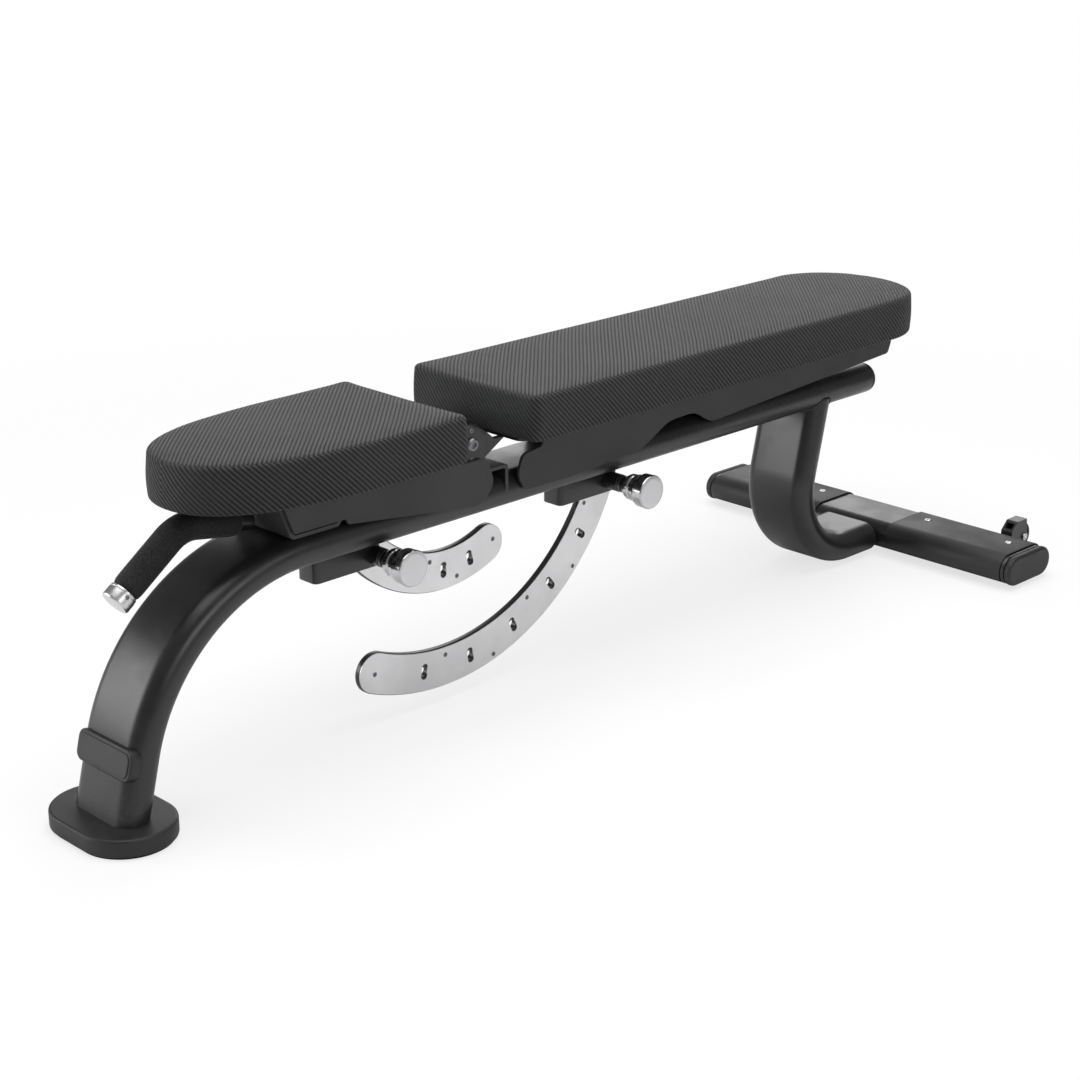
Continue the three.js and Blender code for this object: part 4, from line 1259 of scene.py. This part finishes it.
# ------------------------------------------------------------------------------------------
# Moving parts
# ------------------------------------------------------------------------------------------
@dataclass
class ArcPlate(Assembly):
    """Drilled arc that locks a pad's angle: black steel plate, stainless face and rivets."""

    title: str = "seat"
    body: str = "seat"
    hole: float = 190.0
    width: float = 58.0
    pin: float = -46.5
    top: float = -81.0
    tip: float = 33.0
    holes: int = 4
    rivets: tuple[tuple[float, float], ...] = ()
    bore: float = 7.0
    slot_length: float = 23.0
    slot_width: float = 11.0

    def slot(self, angle: float) -> Array:
        """Outline of the face's opening over one bore: a slot whose long side points at the axle."""
        a = math.radians(angle)
        shape = stadium(self.slot_length, self.slot_width)
        radial, along = shape[:, 0] + self.hole, shape[:, 1]
        x = AXLE[0] + radial * math.sin(a) + along * math.cos(a)
        z = AXLE[1] - radial * math.cos(a) + along * math.sin(a)
        return np.stack([x, z], -1)

    def outline(self, trim: float, top: float) -> Array:
        """Ring sector with a half-round tip.

        Its two long edges are circles about the axle at hole +- width / 2 - trim.
        """
        sign = math.copysign(1.0, self.tip - self.top)
        r = self.width / 2 - trim
        end = self.tip - sign * math.degrees(r / self.hole)
        angles = np.linspace(top, end, 70)
        outer = on_arc(self.hole + r, angles, AXLE)
        inner = on_arc(self.hole - r, angles[::-1], AXLE)
        centre = on_arc(self.hole, end, AXLE)
        facing = end - 90
        round_tip = turned_arc(centre, r, facing, facing + sign * 180, 36)
        return np.concatenate([outer, round_tip[1:-1], inner])

    def build(self) -> None:
        """Make the plate, its face, their openings and the rivets."""
        sign = math.copysign(1.0, self.tip - self.top)
        spots = [on_arc(self.hole, self.pin + sign * 15 * i, AXLE) for i in range(self.holes + 1)]
        plate = slab(f"{self.title}_sector", self.outline(0, self.top), -4.0, 4.0, 0.5, Axis.Y)
        face = slab(
            f"{self.title}_sector_face", self.outline(1.2, self.top + sign * 3), -5.8, -4.3, 0.35, Axis.Y,
        )
        bores = [
            slab(f"bore_{i}", turned_arc(s, self.bore, 0, 360, 49)[:-1], -9, 9, 0.1, Axis.Y)
            for i, s in enumerate(spots)
        ]
        self.enter(carve(plate, bores), self.body, "powder_coat", [f"{self.title}_arc"])
        slots = [
            slab(f"slot_{i}", self.slot(self.pin + sign * 15 * i), -9, -4.1, 0.1, Axis.Y)
            for i in range(self.holes + 1)
        ]
        self.enter(carve(face, slots), self.body, "stainless", [f"{self.title}_arc_face"])
        for i, (radius, angle) in enumerate(self.rivets):
            x, z = on_arc(radius, angle, AXLE)
            rivet = [
                (0, 5.2), (3.0, 5.2), (3.6, 5.8, 0.4), (3.2, 6.3, 0.5), (1.6, 6.3, 0.3), (1.2, 5.8), (0, 5.8),
            ]
            self.enter(
                turned(f"{self.title}_rivet_{i}", rivet, (x, 0, z), (0, -1, 0), 24), self.body, "stainless",
                look="dull_steel",
            )


@dataclass
class SidePlates(Assembly):
    """Pair of flat side plates under a pad."""

    title: str = "seat"
    body: str = "seat"
    corners: Sequence[Sequence[float]] = ()
    far_corners: Sequence[Sequence[float]] = ()

    def build(self) -> None:
        """Make both plates; the far one may have its own outline."""
        for side in Side:
            own = self.far_corners if side is Side.LEFT and self.far_corners else self.corners
            outline = rounded(own, steps=12)
            name = side.name.lower()
            y0, y1 = side.span(61, 66)
            self.enter(
                slab(f"{self.title}_side_{name}", outline, y0, y1, 0.7, Axis.Y), self.body, "plate_coat",
                [f"{self.title}_side_plate_{name}"],
            )


@dataclass
class HingeLugs(Assembly):
    """Pair of lugs that hang a pad's deck on the axle."""

    title: str = "seat"
    body: str = "seat"
    inner: float = 31.0
    corners: Sequence[Sequence[float]] = ()

    def build(self) -> None:
        """Make both lugs, keeping the running bore open."""
        outline = rounded(self.corners, steps=14)
        for side in Side:
            name = side.name.lower()
            y0, y1 = side.span(self.inner, self.inner + 8)
            tool = slab("lug_bore", turned_arc(AXLE, 11.3, 0, 360, 49)[:-1], y0 - 4, y1 + 4, 0.1, Axis.Y)
            lug = carve(slab(f"{self.title}_lug_{name}", outline, y0, y1, 0.8, Axis.Y), [tool])
            self.enter(lug, self.body, "powder_coat", [f"{self.title}_hinge_lug_{name}"])


@dataclass
class SeatFront(Assembly):
    """Bent cross member under the seat's nose and the lifting handle fixed to it."""

    tube: float = 12.5
    foam: float = 19.0
    start: tuple[float, float] = (291.0, 349.0)
    corner: tuple[float, float] = (186.0, 367.0)
    end: tuple[float, float] = (88.0, 294.0)
    bend: float = 55.0

    def circle(self, radius: float) -> Array:
        """Round section."""
        return turned_arc((0, 0), radius, 0, 360, 49)[:-1]

    def along(
        self, origin: Sequence[float], towards: Sequence[float], distance: float,
    ) -> tuple[float, float]:
        """Point at a distance from one point towards another."""
        a, b = np.array(origin, float), np.array(towards, float)
        p = a + (b - a) / np.linalg.norm(b - a) * distance
        return (float(p[0]), float(p[1]))

    def member(self) -> None:
        """Front cross member."""
        corners = [
            (288, DECK_UNDER), (310, 332.2, 8), (386, 332.2, 8), (393, 340.4, 1), (387, 340.4, 1),
            (383, 337.6, 3), (315, 337.6, 3), (294, DECK_UNDER),
        ]
        self.enter(
            slab("seat_cross_member", rounded(corners), -60.7, 60.7, 0.8, Axis.Y), "seat", "plate_coat",
            ["seat_front_member"],
        )

    def handle(self) -> None:
        """Bent tube, foam grip that swells a little at its ends, and turned end cap."""
        path = bent_run(self.start, self.corner, self.end, self.bend)
        self.enter(
            Shell().grid(swept(path, self.circle(self.tube))).make("handle_bar"), "seat", "powder_coat",
            ["handle_tube"],
        )
        first = self.along(self.start, self.corner, 22)
        last = self.along(self.end, self.corner, 17)
        run = bent_run(first, self.corner, last, self.bend, step=1.0)
        run = densify(run, 90)
        t = np.linspace(0, 1, len(run))
        swell = self.foam - 3.2 * np.exp(-60 * np.minimum(t, 1 - t))
        rows = swept(run, self.circle(1.0))
        middle = swept(run, self.circle(1e-9))
        grid = middle + (rows - middle) * swell[:, None, None]
        bore = swept(run, self.circle(self.tube + 0.2))
        grip = Shell().grid(
            np.concatenate([grid, bore[::-1], grid[:1]]), caps=False,
        ).make("foam_grip", crease=60)
        self.enter(grip, "seat", "grip_foam", ["handle_grip"])
        a, b = np.array(self.corner), np.array(self.end)
        w = (b - a) / np.linalg.norm(b - a)
        base = self.along(self.end, self.corner, 16.7)
        cap = [
            (0, 15.0), (12.7, 15.0, 0.2), (12.7, 0.3, 0.3), (18.2, 0.3, 0.8), (18.6, 3.0, 0.3),
            (18.0, 3.6, 0.3), (18.0, 4.4, 0.3), (18.9, 5.0, 0.4), (18.9, 17.2, 1.2), (17.4, 19.4, 1.0),
            (0, 19.5),
        ]
        shell = rounded(cap, closed=False, steps=5)
        piece = Shell().grid(
            lathe(shell, (base[0], 0, base[1]), (w[0], 0, w[1]), 72), caps=False,
        ).make("handle_cap")
        tool = turned(
            "set_screw_tool", [(0, -4), (3.0, -4), (3.0, 4), (0, 4)],
            tuple(self.side_point(base, w, 11.0, 18.8)), (0, -1, 0.35), 24,
        )
        self.enter(carve(piece, [tool]), "seat", "bright_chrome", ["handle_end_cap"], look="satin_chrome")

    def side_point(self, base: Sequence[float], w: Array, reach: float, radius: float) -> Array:
        """Point on the cap's near side, where its set screw sits."""
        out = np.array([0.0, -1.0, 0.35]) / math.hypot(1, 0.35)
        return np.array([base[0] + w[0] * reach, 0, base[1] + w[1] * reach]) + out * radius

    def build(self) -> None:
        """Make every piece."""
        self.member()
        self.handle()


def densify(path: Array, count: int) -> Array:
    """Path sampled at equal steps, headings included."""
    reach = np.concatenate([[0], np.cumsum(np.linalg.norm(np.diff(path[:, :2], axis=0), axis=1))])
    s = np.linspace(0, reach[-1], count)
    return np.stack([np.interp(s, reach, path[:, i]) for i in range(3)], -1)


# ------------------------------------------------------------------------------------------
# Pads
# ------------------------------------------------------------------------------------------
@dataclass
class Pad(Assembly):
    """Foam pad in ribbed leatherette: an outline ring carried over an edge profile, then swelled."""

    title: str = "seat"
    body: str = "seat"
    under: float = 392.4
    top: float = 455.4
    spine: tuple[float, float] = (290.0, 440.0)
    edge: float = 6.0
    hem: float = 5.0
    crown: float = 1.4
    cap: float = 1.8
    pitch: float = 5.3
    lean: float = 44.5
    cell: float = 5.0

    def half_outline(self) -> Array:
        """Right half of the outline, from the front's middle to the rear's middle."""
        raise NotImplementedError

    def ring(self) -> tuple[Array, Array]:
        """Whole outline at equal steps, and the way along it.

        Returns:
            Outline (n, 2) in mm and the distance along it (n,).
        """
        half = self.half_outline()
        reach = np.concatenate([[0], np.cumsum(np.linalg.norm(np.diff(half, axis=0), axis=1))])
        s = np.linspace(0, reach[-1], int(reach[-1] / self.cell) + 1)
        right = np.stack([np.interp(s, reach, half[:, i]) for i in range(2)], -1)
        left = right[1:-1][::-1] * (1, -1)
        run = np.concatenate([s, 2 * reach[-1] - s[1:-1][::-1]])
        return np.concatenate([right, left]), run

    def profile(self) -> tuple[Array, Array, Array]:
        """Edge profile from the middle of the underside to the middle of the top.

        The underside and top run to the pad's centre line by a share w; the corners are quarter
        ellipses, and the side bows out by 1.4 mm * sin(pi h).

        Returns:
            Inset in mm, share w and height in mm, one value a row.
        """
        flat = np.linspace(1, 0, 9)[:-1] ** 1.2
        a = np.radians(np.linspace(0, 90, 6))
        b = np.radians(np.linspace(90, 0, 7))
        h = np.linspace(0, 1, 9)[1:-1]
        bow = -1.4 * np.sin(math.pi * h)
        rise = np.linspace(0, 1, 19)[1:]
        pull = np.concatenate(
            [
                np.full(8, self.hem), self.hem * (1 - np.sin(a)), bow, self.edge * (1 - np.sin(b)),
                np.full(18, self.edge),
            ]
        )
        share = np.concatenate([flat, np.zeros(6 + 7 + 7), rise])
        low, high = self.under + self.hem, self.top - self.edge
        height = np.concatenate([
            np.full(8, self.under), low - self.hem * np.cos(a), low + (high - low) * h,
            high + self.edge * np.cos(b), self.top + self.crown * (1 - (1 - rise) ** 2),
        ])
        return pull, share, height

    def surface(self) -> bpy.types.Object:
        """Pad's skin with its rib map.

        Row v and column u give P = (1 - w) * (outline(u) - inset * normal(u)) + w * centre(u) at
        height(v), where centre(u) is the nearest point of the centre line.

        Returns:
            The object, not yet swelled.
        """
        outline, run = self.ring()
        pull, share, height = self.profile()
        rings = np.stack([inset(outline, float(p)) for p in pull])
        middle = np.stack([np.clip(outline[:, 0], *self.spine), np.zeros(len(outline))], -1)
        flat = rings * (1 - share[:, None, None]) + middle[None] * share[:, None, None]
        level = np.broadcast_to(height[:, None], flat.shape[:2])
        grid = np.concatenate([flat, level[..., None]], -1)
        rows, columns = grid.shape[:2]
        index = np.arange(rows * columns).reshape(rows, columns)
        wide = np.concatenate([index, index[:, :1]], 1)
        quads = np.stack([wide[:-1, :-1], wide[:-1, 1:], wide[1:, 1:], wide[1:, :-1]], -1).reshape(-1, 4)
        mesh = bpy.data.meshes.new(f"{self.title}_cushion")
        mesh.from_pydata(in_frame(grid.reshape(-1, 3)).tolist(), [], quads.tolist())
        self.rib_map(mesh, grid, run, rows, columns, pull)
        work = bmesh.new()
        work.from_mesh(mesh)
        bmesh.ops.remove_doubles(work, verts=work.verts, dist=1e-5)
        bmesh.ops.dissolve_degenerate(work, edges=work.edges, dist=1e-6)
        bmesh.ops.recalc_face_normals(work, faces=work.faces)
        work.to_mesh(mesh)
        work.free()
        mesh.shade_smooth()
        return link(bpy.data.objects.new(f"{self.title}_cushion", mesh))

    def rib_map(
        self, mesh: bpy.types.Mesh, grid: Array, run: Array, rows: int, columns: int, pull: Array,
    ) -> None:
        """Write the rib map: U counts ribs, V is the way along a rib in mm.

        On top and underneath U follows the plan view, turned by lean; on the sides it follows the
        way round and down, at 45 degrees.
        """
        x, y = grid[..., 0], grid[..., 1]
        a = math.radians(self.lean)
        plan = np.stack(
            [(-x * math.sin(a) + y * math.cos(a)) / self.pitch, x * math.cos(a) + y * math.sin(a)], -1,
        )
        step = np.linalg.norm(np.diff(grid[:, 0], axis=0), axis=1)
        down = np.concatenate([[0], np.cumsum(step)])[:, None] * np.ones((1, columns))
        way = np.broadcast_to(np.concatenate([run, [run[-1] + run[1]]]), (rows, columns + 1))
        down = np.concatenate([down, down[:, :1]], 1)
        side = np.stack([(way + down) * math.sqrt(0.5) / self.pitch, (way - down) * math.sqrt(0.5)], -1)
        plan = np.concatenate([plan, plan[:, :1]], 1)
        middle = 0.5 * (pull[:-1] + pull[1:])
        share = np.arange(rows - 1)
        on_side = (share >= 9) & (share <= 26) & (middle < 0.62 * self.edge)
        corners = ((0, -1, 0, -1), (0, -1, 1, None), (1, None, 1, None), (1, None, 0, -1))
        chosen = [
            np.where(on_side[:, None, None], side[i0:i1, j0:j1], plan[i0:i1, j0:j1])
            for i0, i1, j0, j1 in corners
        ]
        values = np.stack(chosen, 2).reshape(-1, 2)
        layer = mesh.uv_layers.new(name="ribs")
        layer.uv.foreach_set("vector", values.astype(np.float32).ravel())

    def swell(self, piece: bpy.types.Object) -> None:
        """Blow the skin out with cloth pressure, held where it rests on its deck, and limit the move."""
        mesh = piece.data
        before = np.zeros(len(mesh.vertices) * 3, np.float32)
        mesh.vertices.foreach_get("co", before)
        before = before.reshape(-1, 3)
        held = np.nonzero(before[:, 2] < (self.under + 1.0) * MM)[0]
        piece.vertex_groups.new(name="held").add(held.tolist(), 1.0, "REPLACE")
        cloth = piece.modifiers.new("swell", "CLOTH")
        cloth.settings.quality = 5
        cloth.settings.mass = 0.3
        cloth.settings.use_pressure = True
        cloth.settings.uniform_pressure_force = 4.0
        cloth.settings.vertex_group_mass = "held"
        cloth.settings.effector_weights.gravity = 0.0
        cloth.point_cache.frame_start = 1
        cloth.point_cache.frame_end = 20
        scene = bpy.context.scene
        for number in range(1, 21):
            scene.frame_set(number)
        moved = piece.evaluated_get(bpy.context.evaluated_depsgraph_get()).to_mesh()
        after = np.zeros(len(mesh.vertices) * 3, np.float32)
        moved.vertices.foreach_get("co", after)
        delta = self.evened(mesh, after.reshape(-1, 3) - before)
        size = np.linalg.norm(delta, axis=1, keepdims=True)
        limit = self.cap * MM
        delta *= limit * np.tanh(size / limit) / np.maximum(size, 1e-9)
        piece.modifiers.clear()
        mesh.vertices.foreach_set("co", (before + delta).astype(np.float32).ravel())
        mesh.update()
        scene.frame_set(1)
        LOG.info("%s swelled by up to %.1f mm", piece.name, float(np.abs(delta).max()) * 1000)

    def evened(self, mesh: bpy.types.Mesh, delta: Array, rounds: int = 14) -> Array:
        """Even out the swelling: each point takes the mean move of its neighbours, again and again.

        Returns:
            Moves of the same shape.
        """
        ends = np.zeros(len(mesh.edges) * 2, np.int32)
        mesh.edges.foreach_get("vertices", ends)
        a, b = ends.reshape(-1, 2).T
        count = np.bincount(np.concatenate([a, b]), minlength=len(delta))[:, None]
        for _ in range(rounds):
            total = np.zeros_like(delta)
            np.add.at(total, a, delta[b])
            np.add.at(total, b, delta[a])
            delta = 0.4 * delta + 0.6 * total / np.maximum(count, 1)
        return delta

    def build(self) -> None:
        """Make the pad."""
        piece = self.surface()
        self.swell(piece)
        fine = piece.modifiers.new("fine", "SUBSURF")
        fine.levels = fine.render_levels = 1
        bake_modifiers(piece)
        piece.data.shade_smooth()
        self.enter(piece, self.body, "upholstery", [f"{self.title}_pad"])


def bezier(points: Sequence[Sequence[float]], count: int = 60) -> Array:
    """Cubic curve: the sum over its four points of the Bernstein weights times the point."""
    t = np.linspace(0, 1, count)[:, None]
    a, b, c, d = (np.array(p, float) for p in points)
    return (1 - t) ** 3 * a + 3 * (1 - t) ** 2 * t * b + 3 * (1 - t) * t ** 2 * c + t ** 3 * d


@dataclass
class SeatPad(Pad):
    """Seat pad with a long narrowing nose."""

    def half_outline(self) -> Array:
        """Nose, right shoulder, right side and rear corner."""
        y = -124.6
        nose = bezier([(163.4, 0), (163.4, -106), (302, y + 2), (420, y)])
        corner = turned_arc((559.4 - 14, y + 14), 14, -90, 0, 10)
        return np.concatenate([nose, corner, [(559.4, 0)]])


@dataclass
class BackPad(Pad):
    """Backrest pad with a bowed head end."""

    def half_outline(self) -> Array:
        """Square hip end, right side and bowed head end."""
        y = -124.6
        corner = turned_arc((672.8 + 12, y + 12), 12, 180, 270, 10)
        head = bezier([(1470, y), (1540, y), (1590.4, -70), (1590.4, 0)])
        return np.concatenate([[(672.8, 0)], corner, head])


# ------------------------------------------------------------------------------------------
# Studio
# ------------------------------------------------------------------------------------------
@dataclass
class Studio:
    """Pale floor, soft lights and the camera."""

    place: tuple[float, float, float] = (-2.1109, -2.0595, 1.2231)
    turn: tuple[float, float, float] = (70.52, 0.0, -44.94)
    lens: float = 71.70
    fill: float = 0.21

    def floor(self) -> None:
        """Large plain floor."""
        side = 30.0
        mesh = bpy.data.meshes.new("studio_floor")
        mesh.from_pydata(
            [(-side, -side, 0), (side, -side, 0), (side, side, 0), (-side, side, 0)], [], [(0, 1, 2, 3)],
        )
        piece = link(bpy.data.objects.new("studio_floor", mesh))
        piece.data.materials.append(Ground("pale_floor").build())

    def lamp(
        self, name: str, place: Sequence[float], aim: Sequence[float], size: tuple[float, float],
        power: float,
    ) -> None:
        """Soft rectangular light at a place, turned to a point."""
        data = bpy.data.lights.new(name, "AREA")
        data.shape = "RECTANGLE"
        data.size, data.size_y = size
        data.energy = power
        lamp = link(bpy.data.objects.new(name, data))
        lamp.visible_camera = False
        lamp.location = place
        lamp.rotation_euler = (Vector(aim) - Vector(place)).to_track_quat("-Z", "Y").to_euler()

    def sky(self) -> None:
        """White surround for the eye, a softer one for the light."""
        world = bpy.data.worlds.new("studio")
        bpy.context.scene.world = world
        world.use_nodes = True
        tree = Tree(world.node_tree)
        tree.tree.nodes.clear()
        seen = tree.add("ShaderNodeBackground", {0: (1, 1, 1, 1), 1: 1.0})
        lit = tree.add("ShaderNodeBackground", {0: (1, 1, 1, 1), 1: self.fill})
        path = tree.add("ShaderNodeLightPath")
        both = tree.add("ShaderNodeMixShader")
        output = tree.add("ShaderNodeOutputWorld")
        tree.tree.links.new(path.outputs["Is Camera Ray"], both.inputs[0])
        tree.tree.links.new(lit.outputs[0], both.inputs[1])
        tree.tree.links.new(seen.outputs[0], both.inputs[2])
        tree.tree.links.new(both.outputs[0], output.inputs[0])

    def camera(self) -> None:
        """Camera at the bench's front right corner."""
        data = bpy.data.cameras.new("camera")
        data.lens = self.lens
        data.sensor_width = 36.0
        data.clip_end = 100.0
        camera = link(bpy.data.objects.new("camera", data))
        camera.location = self.place
        camera.rotation_euler = tuple(math.radians(a) for a in self.turn)
        bpy.context.scene.camera = camera

    def build(self) -> None:
        """Set up the whole studio."""
        self.floor()
        self.sky()
        self.camera()
        self.lamp("overhead", (0.0, -0.2, 2.8), (0, 0, 0.3), (3.4, 2.4), 78.0)
        self.lamp("front_left", (-3.0, 2.3, 1.0), (-0.6, 0, 0.25), (2.2, 1.5), 58.0)
        self.lamp("near_side", (-0.2, -3.8, 1.7), (0, 0, 0.25), (3.4, 1.0), 38.0)
        self.lamp("far_card", (3.2, 3.2, 1.7), (0, 0, 0.3), (4.6, 1.6), 64.0)
        view = bpy.context.scene.view_settings
        view.view_transform = "Standard"
        view.look = "None"


def dress_remaining(palette: Palette) -> None:
    """Give every CAD node that is still shown the finish of its record slot."""
    slots = {part["node"]: part["material_slot"] for part in frame["record"]["subparts"]}
    for name, node in NODES.items():
        palette.dress(node, slots[name])
        if not node.hide_render:
            LOG.info("%s keeps its CAD shape, in %s", name, slots[name])


# Outlines as (x, z, corner radius), in millimetres.
SEAT_SIDE = [
    (293, DECK_UNDER), (311, 341, 4), (394, 341, 3), (398, 333, 3), (630, 303, 26), (655, 330, 22),
    (640, 368, 16), (596, 368, 10), (578, DECK_UNDER, 6),
]
BACK_SIDE = [
    (708, 358, 14), (698, 330, 22), (712, 306, 14), (800, 305, 30), (945, 313, 60), (1005, 344, 60),
    (1062, 346, 50), (1100, 323, 40), (1534, 349, 8), (1541, 366, 8), (1541, DECK_UNDER),
    (752, DECK_UNDER), (744, 362, 6),
]
BACK_SIDE_FAR = [(834, DECK_UNDER), (842, 338, 16), (872, 309, 18)] + BACK_SIDE[4:11]
SEAT_LUG = [
    (520, DECK_UNDER, 1), (520, 372.4, 4), (613, 368, 14), (640, 370, 22), (642, 402, 20), (620, 412, 22),
    (598, 408, 12), (568, DECK_UNDER, 4),
]
BACK_LUG = [
    (690, DECK_UNDER, 1), (668, DECK_UNDER, 4), (650, 402, 8), (632, 413, 16), (598, 411, 24),
    (594, 372, 22), (618, 366, 20), (650, 363, 6),
]


def main() -> None:
    """Build the studio and every sub-assembly."""
    logging.basicConfig(level=logging.INFO, format="%(name)s: %(message)s")
    Studio().build()
    palette = Palette()
    small = ((175, -9.9), (206, 5.5), (190, 27.8))
    large = ((335, -23.4), (316, -0.7), (353, 14.5), (315, 29.6), (353, 44.9), (315, 59.8))
    sections: list[Assembly] = [
        Spine(palette),
        Stand(palette),
        PinStation(palette),
        PinStation(palette, title="back", hole=333.0, angle=67.5, block=(828.0, 944.0), longer=11.0),
        Pivot(palette),
        ArcPlate(palette, rivets=small),
        ArcPlate(
            palette, title="back", body="backrest", hole=333.0, width=59.0, pin=67.5, top=85.5, tip=-28.1,
            holes=5, rivets=large,
        ),
        SidePlates(palette, corners=SEAT_SIDE),
        SidePlates(palette, title="back", body="backrest", corners=BACK_SIDE, far_corners=BACK_SIDE_FAR),
        HingeLugs(palette, corners=SEAT_LUG),
        HingeLugs(palette, title="back", body="backrest", inner=43.0, corners=BACK_LUG),
        SeatFront(palette),
        SeatPad(palette),
        BackPad(palette, title="back", body="backrest", spine=(800.0, 1462.0)),
    ]
    for section in sections:
        section.build()
        LOG.info("%s: %d pieces", type(section).__name__, len(section.made))
    dress_remaining(palette)


if __name__ == "__main__":
    main()
